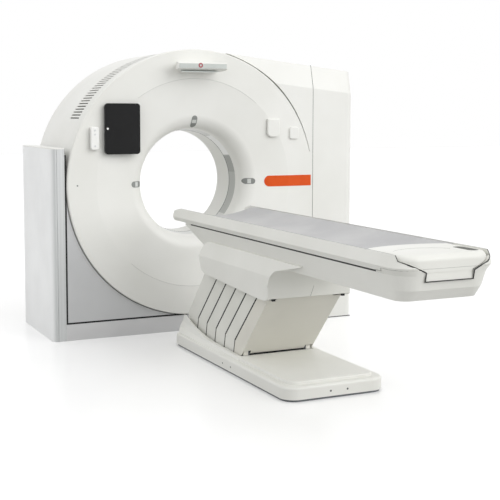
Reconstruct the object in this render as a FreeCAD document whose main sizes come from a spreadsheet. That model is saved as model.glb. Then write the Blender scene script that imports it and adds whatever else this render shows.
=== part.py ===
import FreeCAD, Part
import os
import re
from math import atan2, degrees, hypot, sqrt

import Sketcher

# Computed-tomography scanner: a ring-shaped gantry with a 700 mm bore, and a patient table on a
# leaning parallelogram lift. Millimetres. +Z is up, +X runs across the gantry towards its tall tower,
# and -Y is the patient side. The origin is on the floor, under the point where the scan plane meets
# the axis of the bore.

# --- Driving sizes -----------------------------------------------------------------------------

SIZES = [
    # gantry: axis, front disc and drum
    ("front_reach", 335, "scan plane to the front face"),
    ("rear_reach", 480, "scan plane to the rear face"),
    ("disc_radius", 888, "round front cover"),
    ("disc_clear", 4, "open joint between the round face and the plinth"),
    ("disc_gap", 5, "open joint between the round face and the corner panel"),
    ("plinth_height", 106, "floor to the top of the plinth"),
    ("disc_rim", 60, "depth of the front cover's rim"),
    ("rim_chamfer", 6, "broken edge of the front cover"),
    ("drum_step", 6, "front cover's edge to the drum behind it"),
    ("drum_open", 120, "drum left open below, over the machinery's leg, degrees"),
    ("flat_ring", 193, "flat ring of the round face, outside the dish"),
    ("shell", 6, "wall of the moulded covers"),
    ("seat", 0.3, "gap between pieces that seat on each other"),
    ("crease_lap", 5, "round face under the square corner"),
    ("dish_depth", 22, "depth of the dish at the funnel's lip"),
    ("throat_radius", 362, "narrow end of the rounded lip"),
    ("lip_round", 100, "rounding of the funnel's lip"),
    ("liner_radius", 350, "radius of the bore"),
    ("liner_wall", 4, "wall of the bore's liner"),
    ("liner_half", 97, "half the length of the liner"),
    ("light_width", 84, "length of the light ring along the bore"),
    ("light_wall", 5, "wall of the light ring"),
    ("rear_round", 60, "rounding of the rear funnel where it leaves the liner"),
    ("rear_flare", 38.5, "slope of the rear funnel, degrees from the axis"),
    # gantry: louvres
    ("louvre_count", 35, "vent slots in the drum"),
    ("louvre_length", 200, "vent slot, along the drum"),
    ("louvre_height", 9, "vent slot, around the drum"),
    ("louvre_start", 10.4, "first slot, degrees from the top"),
    ("louvre_span", 50.1, "first to last slot, degrees"),
    ("louvre_inset", 70, "front edge of the drum to the slots"),
    # gantry: plinth, column, panels and tower
    ("shadow_gap", 12, "dark joint above the plinth and beside the column"),
    ("strip_back", 4, "column front to the dark strip"),
    ("strip_thick", 10, "dark strip"),
    ("frame_front", 315, "scan plane to the column's front"),
    ("frame_rear", 419, "scan plane to the column's rear"),
    ("column_clear", 11, "round face to the column"),
    ("column_width", 88, "column across the gantry"),
    ("column_height", 1236, "column without its cap"),
    ("column_round", 32, "front corner of the column"),
    ("column_groove", 3, "groove down the column, wide and deep"),
    ("cap_height", 7, "column cap"),
    ("seam_gap", 4, "open seam beside the tower"),
    ("tower_width", 330, "tall tower, across the gantry"),
    ("tower_slope", 6.3, "fall of the tower's top, degrees"),
    ("tower_lap", 1.5, "tower's top above the round face, measured square to the slope"),
    ("tower_start", 200, "bore axis to the upper cover's left end"),
    ("tower_low", 200, "bore axis up to the upper cover's lower end"),
    ("tower_rear", 440, "scan plane to the tower's rear"),
    ("tower_round", 55, "outer front corner of the tower"),
    ("lean_drop", 158, "height of the leaning top band"),
    ("lean_back", 38, "how far the top band leans back"),
    ("rim_groove", 14, "widest place of the groove between disc and upper cover"),
    ("groove_rise", 18, "centre of the upper cover's edge above the axis of the bore"),
    # gantry: things on the front
    ("window_angle", 8, "strip that a laser window is cut from, degrees around the bore"),
    ("window_inner", 371, "laser window, inner end from the axis"),
    ("window_outer", 450, "laser window, outer end from the axis"),
    ("window_half", 20, "half the width of a laser window"),
    ("window_proud", 1.2, "laser window above the lip"),
    ("hood_width", 352, "display hood, in front"),
    ("hood_foot", 236, "display hood, at the disc"),
    ("hood_reach", 122, "display hood in front of the disc"),
    ("hood_inset", 94, "top of the round face down to the hood"),
    ("hood_edge", 38, "height of the hood's front edge"),
    ("hood_drop", 64, "height of the hood at the disc"),
    ("hood_round", 10, "front corners of the hood"),
    ("hood_lean", 8, "how far the hood's edge leans back, above and below"),
    ("hood_rise", 2, "how far the hood's top rises towards the front"),
    ("hood_bevel", 4, "bevels above and below the hood's front edge"),
    ("strip_low", 2, "lower line of the hood's front edge to the strip"),
    ("strip_inset", 8, "ends of the hood to the strip"),
    ("strip_high", 29, "height of the strip"),
    ("strip_proud", 1.5, "strip in front of the hood"),
    ("tablet_width", 238, "tablet computer"),
    ("tablet_height", 327, "tablet computer"),
    ("tablet_thick", 18, "tablet computer"),
    ("tablet_side", 362, "side of the round face to the tablet's centre"),
    ("tablet_z", 365, "centre of the tablet above the axis"),
    ("tablet_round", 22, "tablet corner"),
    ("bracket_inset", 10, "tablet edge to its back plate"),
    ("bracket_thick", 6, "back plate of the tablet"),
    ("bracket_reach", 10, "back plate in front of the disc"),
    ("bracket_left", 25, "left edge of the tablet to the bracket's foot"),
    ("bracket_width", 70, "foot of the bracket"),
    ("bracket_drop", 30, "top of the tablet to the bracket's foot"),
    ("bracket_height", 90, "foot of the bracket"),
    ("glass_inset", 1.2, "edge of the case to the glass"),
    ("glass_thick", 0.8, "glass of the tablet"),
    ("remote_width", 53, "remote handset"),
    ("remote_height", 146, "remote handset"),
    ("remote_side", 177, "side of the round face to the handset's centre"),
    ("remote_z", 305, "centre of the handset above the axis"),
    ("remote_thick", 22, "remote handset"),
    ("remote_round", 14, "handset corner"),
    ("remote_edge", 4, "rounded front edge of the handset"),
    ("cradle_reach", 12, "handset cradle in front of the disc"),
    ("cradle_side", 4, "handset side to the cradle"),
    ("cradle_end", 12, "handset end to the cradle"),
    ("cradle_round", 8, "cradle corner"),
    ("button_radius", 6, "handset button"),
    ("button_travel", 1.5, "handset button"),
    ("button_first", 22, "top of the handset to its first button"),
    ("button_last", 24, "bottom of the handset to its last button"),
    ("button_gap", 0.3, "button in its pocket, all round"),
    ("button_proud", 0.5, "button above the handset when pressed"),
    ("pocket_depth", 5, "button pocket"),
    ("button_pitch", 26, "handset buttons, upper pair"),
    ("label_left", 516, "left end of the label plate"),
    ("label_end", 14, "side of the round face to the label plate"),
    ("label_low", -40, "label plate below the axis"),
    ("label_high", 35, "label plate above the axis"),
    ("label_thick", 1.5, "label plate"),
    ("holder_width", 93, "large holder"),
    ("holder_pitch", 172, "left side of the large holder to that of the small one"),
    ("holder_low", 303, "large holder, lower end above the axis"),
    ("holder_high", 426, "large holder, upper end above the axis"),
    ("holder_round", 32, "lower corners of the large holder"),
    ("holder_reach", 16, "large holder in front of the disc"),
    ("clip_width", 71, "small holder"),
    ("clip_side", 188, "side of the round face to the left side of the small holder"),
    ("clip_low", 287, "small holder, lower end above the axis"),
    ("clip_height", 84, "small holder"),
    ("clip_round", 18, "corners of the small holder"),
    ("clip_reach", 14, "small holder in front of the disc"),
    ("holder_edge", 6, "rounded front edges of both holders"),
    # gantry: inside
    ("frame_plate", 30, "stationary frame"),
    ("frame_offset", 160, "scan plane to the stationary frame"),
    ("frame_hole", 430, "hole in the stationary frame"),
    ("leg_half", 460, "half the width of the frame's leg"),
    ("leg_reach", 60, "leg in front of and behind the frame"),
    ("leg_lap", 150, "height of the leg's cradle round the frame"),
    ("rotor_offset", 60, "scan plane to the rotor plate"),
    ("rotor_thick", 25, "rotor plate"),
    ("rotor_room", 82, "drum to the rim of the rotor plate"),
    ("rotor_bore", 385, "hole in the rotor plate"),
    ("bearing_radius", 440, "joint between the bearing rings"),
    ("bearing_section", 38, "one bearing ring, across"),
    ("bearing_step", 8, "end gap between the bearing rings and their neighbours"),
    ("tube_radius", 110, "x-ray tube housing"),
    ("tube_height", 610, "bore axis to the tube's axis"),
    ("tube_length", 180, "x-ray tube housing"),
    ("tube_edge", 15, "rounded end of the tube housing"),
    ("collimator_half", 45, "half the collimator, at the fan"),
    ("collimator_flare", 70, "half the collimator, at the tube"),
    ("collimator_gap", 12, "collimator to rotor bore and tube"),
    ("collimator_depth", 100, "collimator along the bore"),
    ("fan_half", 25, "half the detector's angle, degrees"),
    ("detector_thick", 60, "detector, outwards"),
    ("detector_gap", 96, "bore liner to the detector"),
    ("detector_depth", 100, "detector along the bore"),
    ("power_x", 600, "bore axis to the power units"),
    ("power_half", 110, "half the width of a power unit"),
    ("power_low", 130, "axis down to the end of a power unit"),
    ("power_high", 170, "axis up to the end of a power unit"),
    ("power_round", 12, "corners of a power unit"),
    ("power_depth", 190, "power unit along the bore"),
    ("slip_radius", 560, "slip ring, inside"),
    ("slip_band", 60, "slip ring, across"),
    ("slip_thick", 22, "slip ring, along the bore"),
    ("pulley_radius", 60, "drive pulley"),
    ("motor_radius", 70, "drive motor"),
    ("motor_length", 190, "drive motor"),
    ("motor_shaft", 12, "radius of the motor's shaft"),
    ("motor_gap", 4.3, "motor to the stationary frame"),
    ("motor_bed", 20, "how far the bed stops short of the motor's side"),
    ("pulley_angle", 140, "drive pulley, degrees from the top"),
    ("belt_thick", 4, "drive belt"),
    ("belt_inset", 1, "belt edge to the rim of the rotor plate"),
    # table: lift
    ("lift_lean", 42, "lean of the lift, degrees"),
    ("lift_low", 105, "floor to the lower pivots"),
    ("lift_high", 500, "floor to the upper pivots"),
    ("front_pivot", 1507, "scan plane to the front pivot"),
    ("slat_pitch", 147, "pivot to pivot along the table"),
    ("slat_count", 4, "pairs of side slats between front and rear cover"),
    ("slat_rear", 93, "pivot line to a slat's rear edge, below"),
    ("slat_taper", 20, "how much narrower a slat is above"),
    ("slat_front", 44, "pivot line to a slat's front edge"),
    ("slat_low", 20, "lower pivot to the lower front corner of a slat"),
    ("slat_high", 12, "upper pivot to the top of a slat"),
    ("slat_shoulder", 60, "bevel at the top of a slat, across"),
    ("slat_crown", 40, "upper pivot to the shoulder of a slat"),
    ("slat_knee", -2, "lower pivot to the knee of the front flange"),
    ("knee_rise", 9, "each knee above its neighbour"),
    ("knee_across", 40, "lower end of a slat behind its knee"),
    ("knee_drop", 72, "lower end of a slat below its knee"),
    ("lift_fold", 75, "lean of the lift with the table lowest, degrees"),
    ("fold_gap", 11, "room for a neighbour's pin in a slat's front edge"),
    ("fold_lead", 20, "how far that room runs down"),
    ("slat_thick", 2.4, "side slat"),
    ("slat_step", 3, "side slat to side slat"),
    ("flange_thick", 4, "side flange of the foot plate"),
    ("pin_inset", 2, "inner face of a pivot rail to the end of a slat's pin"),
    ("lift_half", 226, "half the width of the lift"),
    ("plate_thick", 3, "sheet of the foot plate"),
    ("plate_offset", 12, "pivot line to the foot plate's face"),
    ("rear_offset", 117, "pivot line to the rear plate's face"),
    ("rear_low", 17, "lower pivot up to the rear plate"),
    ("rear_flange_drop", 50, "rear plate's lower edge down to its flange's lower end"),
    ("rear_high", 33, "upper pivot down to the rear plate"),
    ("rear_shoulder", 70, "bevel at the top of the rear flange, across"),
    ("notch_length", 38, "hinge notch in the foot plate"),
    ("notch_width", 52, "hinge notch, across"),
    ("plate_low", 2, "lower pivot to the lower edge of the foot plate"),
    ("plate_high", 5, "upper pivot to the upper edge of the foot plate"),
    ("rail_inner", 180, "pivot rails, inner face"),
    ("rail_thick", 20, "pivot rails"),
    ("rail_edge", 16, "pivot to the free edge of a rail"),
    ("shaft_radius", 8.5, "arm shafts"),
    ("pin_radius", 6, "slat pins"),
    ("running_gap", 0.08, "shaft in its hole, all round"),
    ("open_gap", 0.6, "open upper pivots, all round"),
    ("link_inner", 110, "arm links, inner face"),
    ("link_thick", 40, "arm links"),
    ("link_depth", 58, "arm links, deep"),
    ("link_bevel", 20, "bevelled rear corners of a link"),
    ("link_end", 12, "pivot to the end of a link"),
    ("gearbox_half", 90, "half the width of the gearbox"),
    ("gearbox_foot", 1350, "scan plane to the gearbox's foot end"),
    ("gearbox_length", 270, "gearbox along the table"),
    ("gearbox_height", 48, "gearbox"),
    ("gearbox_round", 20, "corners of the gearbox"),
    ("gearbox_lug", 5, "motor beyond the gearbox, at each side"),
    ("lift_motor_radius", 38, "motor drum on the gearbox"),
    # table: base
    ("base_half", 300, "half the width of the base"),
    ("base_front", 2205, "scan plane to the base's foot end"),
    ("base_rear", 655, "scan plane to the base's gantry end"),
    ("base_round", 80, "base corner"),
    ("base_plate", 12, "steel plate under the base"),
    ("plate_inset", 10, "side of the base to its steel plate"),
    ("base_height", 78, "base edge"),
    ("panel_top", 95, "floor to the base's raised panel"),
    ("panel_inset", 44, "base side to the raised panel"),
    ("panel_round", 20, "how much tighter the panel's corners are"),
    ("panel_edge", 6, "rounded edge of the raised panel"),
    ("well_half", 236, "half the width of the well in the base"),
    ("well_lead", 23, "front pivot to the well's foot end"),
    ("fairing_top", 190, "floor to the fairing's top"),
    ("fairing_half", 240, "half the fairing's width at its top"),
    ("fairing_start", 727, "scan plane to the fairing's highest place"),
    ("fairing_end", 1250, "scan plane to the foot of the fairing's sweep"),
    ("fairing_low", 104, "floor to the rim beside the well"),
    ("fairing_lean", 34, "how far the gantry end of the fairing leans"),
    ("fairing_inset", 16, "edge of the base to the foot of the fairing"),
    ("fairing_step", 0.5, "foot of the fairing above what it stands on"),
    ("fairing_shoulder", 152, "floor to the upper bend of the fairing's side"),
    ("fairing_waist", 114, "floor to the lower bend of the fairing's side"),
    ("fairing_hem", 85, "floor to the foot of the fairing's side"),
    ("rim_lead", 31, "foot end of the well to the foot end of its rim"),
    ("rim_half", 246, "half the width over the rim beside the well"),
    ("base_edge", 14, "rounded edge of the base"),
    # table: frame and top
    ("housing_half", 258, "half the width of the lift housing"),
    ("housing_low", 468, "floor to the housing's lower edge"),
    ("housing_top", 697, "floor to the housing's top"),
    ("housing_wall", 5, "lip of the lift housing"),
    ("housing_lead", 33, "upper front pivot to the housing's foot end"),
    ("housing_back", 145, "upper rear pivot to the housing's gantry end"),
    ("housing_edge", 16, "rounded upright edges of the housing's foot end"),
    ("housing_lip", 12, "bevel under the housing's foot end, high"),
    ("housing_lip_run", 25, "bevel under the housing's foot end, long"),
    ("housing_swell", 5, "how far the foot end bulges"),
    ("housing_swell_top", 60, "lower edge to the bulge's top"),
    ("housing_brow", 75, "foot end to the end of its rounding"),
    ("housing_brow_drop", 57, "housing's top down to the end of that rounding"),
    ("housing_brow_round", 150, "rounding of the foot end"),
    ("housing_tail", 330, "thin tail of the housing under the tub, long"),
    ("housing_tail_thick", 4, "end of the tail"),
    ("housing_flat", 100, "straight lower edge beside the foot end"),
    ("housing_nape", 105, "gantry end to the end of its rounding"),
    ("housing_nape_drop", 100, "housing's top down to the gantry end's corner"),
    ("housing_nape_round", 110, "rounding of the gantry end"),
    ("housing_chin", 30, "gantry end's lower corner, back"),
    ("housing_chin_rise", 55, "lower edge to that corner"),
    ("housing_heel", 75, "start of the bevel under the gantry end"),
    ("housing_heel_rise", 36, "lower edge to the start of that bevel"),
    ("housing_slope", 24, "bevel over the housing's sides, across"),
    ("housing_slope_drop", 95, "bevel over the housing's sides, high"),
    ("tub_gap", 0.5, "side of the tub to the housing"),
    ("tub_low", 655, "floor to the tub's underside"),
    ("tub_knee", 705, "floor to the bend of the tub's foot end"),
    ("tub_top", 772, "floor to the tub's top"),
    ("tub_low_half", 212, "half the tub's width, below"),
    ("tub_top_half", 245, "half the tub's width, above"),
    ("tub_nose_low", 975, "scan plane to the tub's gantry end, below"),
    ("tub_nose_top", 725, "scan plane to the tub's gantry end, above"),
    ("tub_foot_low", 3072, "scan plane to the tub's foot end, below"),
    ("tub_foot_knee", 3112, "scan plane to the tub's foot end, at the bend"),
    ("tub_foot_top", 3132, "scan plane to the tub's foot end, above"),
    ("tub_round_low", 60, "foot corners of the tub, below"),
    ("tub_round_knee", 82, "foot corners of the tub, at the bend"),
    ("tub_round_top", 100, "foot corners of the tub, above"),
    ("block_start", 2990, "scan plane to the raised part of the tub's foot end"),
    ("block_top", 797, "floor to the top of the tub's foot end"),
    ("block_lean", 2, "rails' foot end to the top of the tub's foot end"),
    ("notch_rise", 2, "tabletop's underside to the slope of the toes"),
    ("channel_half", 128, "half the guide channel's width"),
    ("channel_floor", 742, "floor to the guide channel"),
    ("guide_inset", 4, "side of the guide channel to a guide strip"),
    ("guide_width", 16, "guide strip, across"),
    ("guide_end", 10, "tub's gantry end to the guide strips"),
    ("guide_toe", 2, "toes of the side rails to the guide strips"),
    ("strip_height", 9, "black accessory rail under the side rails"),
    ("strip_proud_side", 1, "black strip beyond the tub"),
    ("strip_width", 50, "black accessory rail, across"),
    ("strip_lead", 30, "tub's gantry end to the black strip"),
    ("rail_top", 861, "floor to the side rails' top"),
    ("rail_belly", 806, "floor to the side rails' widest line"),
    ("rail_low_half", 252, "half width over the side rails, below"),
    ("rail_belly_half", 266, "half width over the side rails, widest"),
    ("rail_top_half", 250, "half width over the side rails, above"),
    ("rail_gap_half", 242, "half the gap between the side rails"),
    ("rail_tip", 575, "scan plane to the side rails' tips"),
    ("rail_toe", 3142, "scan plane to the side rails' foot end"),
    ("toe_round", 100, "foot corner of the side rails"),
    ("toe_depth", 60, "length of the side rails' toes"),
    ("toe_slope", 25, "rail top down to the slope of the toes"),
    ("toe_lean_low", 14, "foot end of the side rails, widest line to lower edge"),
    ("toe_lean_top", 16, "foot end of the side rails, widest line to top"),
    ("tip_length", 80, "bevel on top of the rail tips, length"),
    ("tip_drop", 18, "bevel on top of the rail tips, depth"),
    ("top_half", 234, "half the tabletop's width"),
    ("top_rim", 859, "floor to the tabletop's rim"),
    ("top_edge", 12, "height of the tabletop's edge"),
    ("head_round", 40, "corners of the tabletop's head end"),
    ("top_dip", 46, "depth of the tabletop's hollow"),
    ("top_under", 784, "floor to the tabletop's underside"),
    ("top_under_half", 150, "half the tabletop's flat underside"),
    ("top_head", 700, "scan plane to the tabletop's head end"),
    ("top_end", 2832, "scan plane to the tabletop's foot end"),
    ("cap_bow", 54, "bow of the end cap's front edge"),
    ("cap_half", 237, "half the end cap's width"),
    ("cap_top", 860, "floor to the end cap's top"),
    ("cap_end", 3130, "scan plane to the end cap's foot end"),
    ("cap_round", 85, "foot corners of the end cap"),
    ("cap_edge", 28, "rounded upper edge of the end cap"),
    ("cap_clear", 3, "end cap above the slope of the toes"),
    ("cap_sink", 2, "foot end of the cap to its tongue"),
    ("tongue_depth", 60, "tongue along the table"),
    ("grip_inner", 150, "hand grip, inner side"),
    ("grip_outer", 205, "hand grip, outer side"),
    ("grip_length", 150, "hand grip"),
    ("grip_end", 50, "foot end of the cap to the hand grip"),
    ("grip_depth", 24, "hand grip, deep and rounded"),
    ("tongue_half", 123, "half the tongue's width"),
    ("tongue_low", 747, "floor to the tongue"),
    ("carriage_half", 110, "half the carriage's width"),
    ("carriage_front", 2300, "scan plane to the carriage"),
    ("carriage_length", 700, "carriage"),
    ("carriage_clear", 4, "floor of the guide channel to the carriage"),
]

# Places that follow from the driving sizes.
DERIVED = {
    "holder_left": "clip_left - holder_pitch",
    "clip_left": "disc_radius - clip_side",
    "label_right": "disc_radius - label_end",
    "remote_x": "-(disc_radius - remote_side)",
    "tablet_x": "-(disc_radius - tablet_side)",
    "hood_top": "disc_radius - hood_inset",
    "crease_radius": "disc_radius - flat_ring",
    "tower_right": "tower_seam + tower_width",
    "column_inner": "disc_radius + column_clear",
    "rotor_radius": "drum_radius - rotor_room",
    "drum_radius": "disc_radius - drum_step",
    "iso_height": "plinth_height + disc_clear + disc_radius",
    "fairing_bend": "(fairing_run * fairing_run + fairing_rise * fairing_rise) / (2 * fairing_rise)",
    "fairing_run": "fairing_end - fairing_start",
    "fairing_rise": "fairing_top - fairing_low",
    "block_half": "rail_low_half + (rail_belly_half - rail_low_half)"
                  " * (block_top - rail_low) / (rail_belly - rail_low)",
    "tub_knee_half": "tub_low_half + (tub_top_half - tub_low_half)"
                     " * (tub_knee - tub_low) / (tub_top - tub_low)",
    "housing_head": "rear_pivot + arm_shift - housing_back",
    "housing_foot": "front_pivot + arm_shift + housing_lead",
    "pulley_reach": "frame_radius + motor_gap + motor_radius",
    "detector_reach": "tube_height + liner_radius + liner_wall + detector_gap",
    "rear_mouth": "rear_turn_radius + (rear_reach - rear_turn_y) * tan(rear_flare * 1deg)",
    "rear_turn_radius": "liner_radius + rear_round * (1 - cos(rear_flare * 1deg))",
    "rear_turn_y": "liner_half + seat + rear_round * sin(rear_flare * 1deg)",
    "tower_seam": "disc_radius + seam_gap / 2",
    "lip_y": "-front_reach + dish_depth + lip_round",
    "light_start": "-(liner_half + seat) - light_width",
    "light_radius": "liner_radius + (throat_radius - liner_radius) * light_width / (-lip_y - liner_half)",
    "frame_radius": "drum_radius - shell - seat",
    "pulley_x": "pulley_reach * sin(pulley_angle * 1deg)",
    "pulley_z": "pulley_reach * cos(pulley_angle * 1deg)",
    "rear_pivot": "front_pivot - slat_pitch * (slat_count + 1)",
    "arm_length": "(lift_high - lift_low) / cos(lift_lean * 1deg)",
    "arm_shift": "(lift_high - lift_low) * tan(lift_lean * 1deg)",
    "flange_inner": "lift_half - flange_thick",
    "rear_inner": "flange_inner - (slat_count + 1) * slat_step",
    "top_radius": "(top_half * top_half + top_dip * top_dip) / (2 * top_dip)",
    "bow_radius": "(top_half * top_half + cap_bow * cap_bow) / (2 * cap_bow)",
    "rail_low": "tub_top + strip_height",
    "well_front": "front_pivot + well_lead",
}

doc = FreeCAD.newDocument("ct_scanner")
sheet = doc.addObject("Spreadsheet::Sheet", "Sizes")
for row, (alias, value, remark) in enumerate(SIZES, start=1):
    sheet.set("A%d" % row, alias)
    sheet.set("B%d" % row, str(value))
    sheet.set("C%d" % row, remark)
    sheet.setAlias("B%d" % row, alias)
doc.recompute()
ALIASES = {alias for alias, value, remark in SIZES}


# --- Helpers -----------------------------------------------------------------------------------

def bound(text):
    """A formula in size names, written as an expression on the sheet's cells."""
    def swap(match):
        word = match.group(0)
        if word in DERIVED:
            return "(" + bound(DERIVED[word]) + ")"
        if word in ALIASES:
            return "Sizes." + word
        return word
    return re.sub(r"[a-z][a-z0-9_]*", swap, str(text))


def number(text):
    """The present value of a formula in size names."""
    return float(sheet.evalExpression(bound(text)))


def new_body(label, x="0", y="0", z="0", turn="0", about=(0, 0, 1)):
    """A body at a place given by formulas, turned about one axis."""
    body = doc.addObject("PartDesign::Body", label)
    body.Label = label
    body.Placement = FreeCAD.Placement(
        FreeCAD.Vector(number(x), number(y), number(z)),
        FreeCAD.Rotation(FreeCAD.Vector(*about), number(turn) or 1e-9))
    for path, formula in (("Base.x", x), ("Base.y", y), ("Base.z", z)):
        if formula != "0":
            body.setExpression("Placement." + path, bound(formula))
    if turn == "0":
        body.Placement = FreeCAD.Placement(body.Placement.Base, FreeCAD.Rotation())
    else:
        body.setExpression("Placement.Rotation.Angle", bound(turn))
    return body


def bore_body(label, turn="0"):
    """A body whose own Y axis is the axis of the bore."""
    return new_body(label, z="iso_height", turn=turn, about=(0, 1, 0))


def arm_body(label, pivot):
    """A body that stands on a lower pivot of the lift: its Z runs along the arm."""
    return new_body(label, y="-(" + pivot + ")", z="lift_low", turn="lift_lean", about=(1, 0, 0))


def origin_item(body, role):
    return [item for item in body.Origin.OriginFeatures if item.Role == role][0]


def arc_between(start, end, radius, side):
    """Circular arc from start to end; side +1 keeps its centre on the left of the way."""
    chord = hypot(end[0] - start[0], end[1] - start[1])
    rise = side * sqrt(max(radius * radius - chord * chord / 4, 0))
    centre = FreeCAD.Vector(
        (start[0] + end[0]) / 2 - rise * (end[1] - start[1]) / chord,
        (start[1] + end[1]) / 2 + rise * (end[0] - start[0]) / chord, 0)
    first, last = (start, end) if side > 0 else (end, start)
    angles = [atan2(point[1] - centre.y, point[0] - centre.x) for point in (first, last)]
    circle = Part.Circle(centre, FreeCAD.Vector(0, 0, 1), radius)
    return Part.ArcOfCircle(circle, angles[0], angles[1])


def add_outline(sketch, corners):
    """Closed outline. A corner is (across, up), or (across, up, radius, side) to arrive on an arc."""
    places = [(number(corner[0]), number(corner[1])) for corner in corners]
    ends = []
    for index, corner in enumerate(corners):
        start, end = places[index - 1], places[index]
        if len(corner) == 2:
            edge = sketch.addGeometry(Part.LineSegment(FreeCAD.Vector(*start), FreeCAD.Vector(*end)))
            ends.append((edge, 1, 2))
        else:
            edge = sketch.addGeometry(arc_between(start, end, number(corner[2]), corner[3]))
            ends.append((edge, 1, 2) if corner[3] > 0 else (edge, 2, 1))
            place = sketch.addConstraint(Sketcher.Constraint("Radius", edge, number(corner[2])))
            sketch.setExpression("Constraints[%d]" % place, bound(corner[2]))
    for index, corner in enumerate(corners):
        edge, start, end = ends[index]
        following = ends[(index + 1) % len(corners)]
        sketch.addConstraint(Sketcher.Constraint("Coincident", edge, end, following[0], following[1]))
        for kind, value, formula in (("DistanceX", places[index][0], corner[0]),
                                     ("DistanceY", places[index][1], corner[1])):
            place = sketch.addConstraint(Sketcher.Constraint(kind, -1, 1, edge, end, value))
            sketch.setExpression("Constraints[%d]" % place, bound(formula))


def add_circle(sketch, across, up, radius):
    centre = FreeCAD.Vector(number(across), number(up), 0)
    edge = sketch.addGeometry(Part.Circle(centre, FreeCAD.Vector(0, 0, 1), number(radius)))
    for kind, value, formula in (("DistanceX", centre.x, across), ("DistanceY", centre.y, up)):
        place = sketch.addConstraint(Sketcher.Constraint(kind, -1, 1, edge, 3, value))
        sketch.setExpression("Constraints[%d]" % place, bound(formula))
    place = sketch.addConstraint(Sketcher.Constraint("Radius", edge, number(radius)))
    sketch.setExpression("Constraints[%d]" % place, bound(radius))


def new_sketch(body, plane, shapes, offset="0"):
    """Sketch on an origin plane. A shape is an outline's corners, or a circle (across, up, radius)."""
    sketch = body.newObject("Sketcher::SketchObject", body.Label + "_sketch")
    sketch.AttachmentSupport = [(origin_item(body, plane + "_Plane"), "")]
    sketch.MapMode = "FlatFace"
    sketch.AttachmentOffset = FreeCAD.Placement(FreeCAD.Vector(0, 0, number(offset)), FreeCAD.Rotation())
    if offset != "0":
        sketch.setExpression("AttachmentOffset.Base.z", bound(offset))
    for shape in shapes:
        if isinstance(shape, tuple):
            add_circle(sketch, *shape)
        else:
            add_outline(sketch, shape)
    return sketch


def slab(body, plane, shapes, low, high, cut=False):
    """Material, or a cut, with these outlines from low to high along the plane's own row axis."""
    flipped = plane == "XZ"
    near = "-(" + (low if cut else high) + ")" if flipped else (high if cut else low)
    sketch = new_sketch(body, plane, shapes, near)
    feature = body.newObject("PartDesign::Pocket" if cut else "PartDesign::Pad", body.Label + "_slab")
    feature.Profile = sketch
    feature.setExpression("Length", bound("(" + high + ") - (" + low + ")"))
    return feature


def turned(body, shapes, angle="360"):
    """Material turned about the body's Y axis, centred on its top."""
    feature = body.newObject("PartDesign::Revolution", body.Label + "_turned")
    sketch = new_sketch(body, "YZ", shapes)
    feature.Profile = sketch
    feature.ReferenceAxis = (sketch, ["H_Axis"])
    feature.Angle = number(angle)
    feature.Midplane = angle != "360"
    if angle != "360":
        feature.setExpression("Angle", bound(angle))
    return feature


def lofted(body, sections, cut=False):
    """Ruled loft through sketches."""
    kind = "PartDesign::SubtractiveLoft" if cut else "PartDesign::AdditiveLoft"
    feature = body.newObject(kind, body.Label + "_loft")
    feature.Profile = sections[0]
    feature.Sections = sections[1:]
    feature.Ruled = True
    return feature


def around_bore(body, feature, angle, count):
    """Copies of a feature, turned about the body's Y axis towards -X."""
    pattern = body.newObject("PartDesign::PolarPattern", body.Label + "_pattern")
    pattern.Originals = [feature]
    pattern.Axis = (origin_item(body, "Y_Axis"), [""])
    pattern.Reversed = True
    pattern.setExpression("Angle", bound(angle))
    pattern.setExpression("Occurrences", bound(count))
    body.Tip = pattern
    return pattern


def other_side(body, features):
    """The same features again on the -X side."""
    mirror = body.newObject("PartDesign::Mirrored", body.Label + "_mirror")
    mirror.Originals = features
    mirror.MirrorPlane = (origin_item(body, "YZ_Plane"), [""])
    body.Tip = mirror
    return mirror


def rounded(body, radius, wanted, kind="Fillet"):
    """Fillet, or chamfer, on the edges that the test wants."""
    doc.recompute()
    base = body.Tip
    names = ["Edge%d" % (index + 1) for index, edge in enumerate(base.Shape.Edges) if wanted(edge)]
    feature = body.newObject("PartDesign::" + kind, body.Label + "_" + kind.lower())
    feature.Base = (base, names)
    feature.setExpression("Radius" if kind == "Fillet" else "Size", bound(radius))
    return feature


def box_outline(left, low, right, high):
    return [(left, low), (right, low), (right, high), (left, high)]


def round_outline(left, low, right, high, radius):
    """Rectangle with four rounded corners."""
    return [
        (right + " - " + radius, low), (right, low + " + " + radius, radius, 1),
        (right, high + " - " + radius), (right + " - " + radius, high, radius, 1),
        (left + " + " + radius, high), (left, high + " - " + radius, radius, 1),
        (left, low + " + " + radius), (left + " + " + radius, low, radius, 1)]


def corner_cut(body, across, along, radius, end, low, high):
    """Rounds the upright corner at (across, along); end is +1 at a piece's +Y end and -1 at its -Y end."""
    sign, back = ("+", "-") if end > 0 else ("-", "+")
    start, stop = "(%s) %s %s" % (along, back, radius), "(%s) - %s" % (across, radius)
    beyond = "(%s) %s 2" % (along, sign)
    return slab(body, "XY", [[
        (across + " + 2", start), (across + " + 2", beyond), (stop, beyond), (stop, along),
        (across, start, radius, -end)]], low, high, cut=True)


def near(value, formula, margin=0.5):
    return abs(value - number(formula)) < margin


# --- Gantry: covers ----------------------------------------------------------------------------

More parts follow.
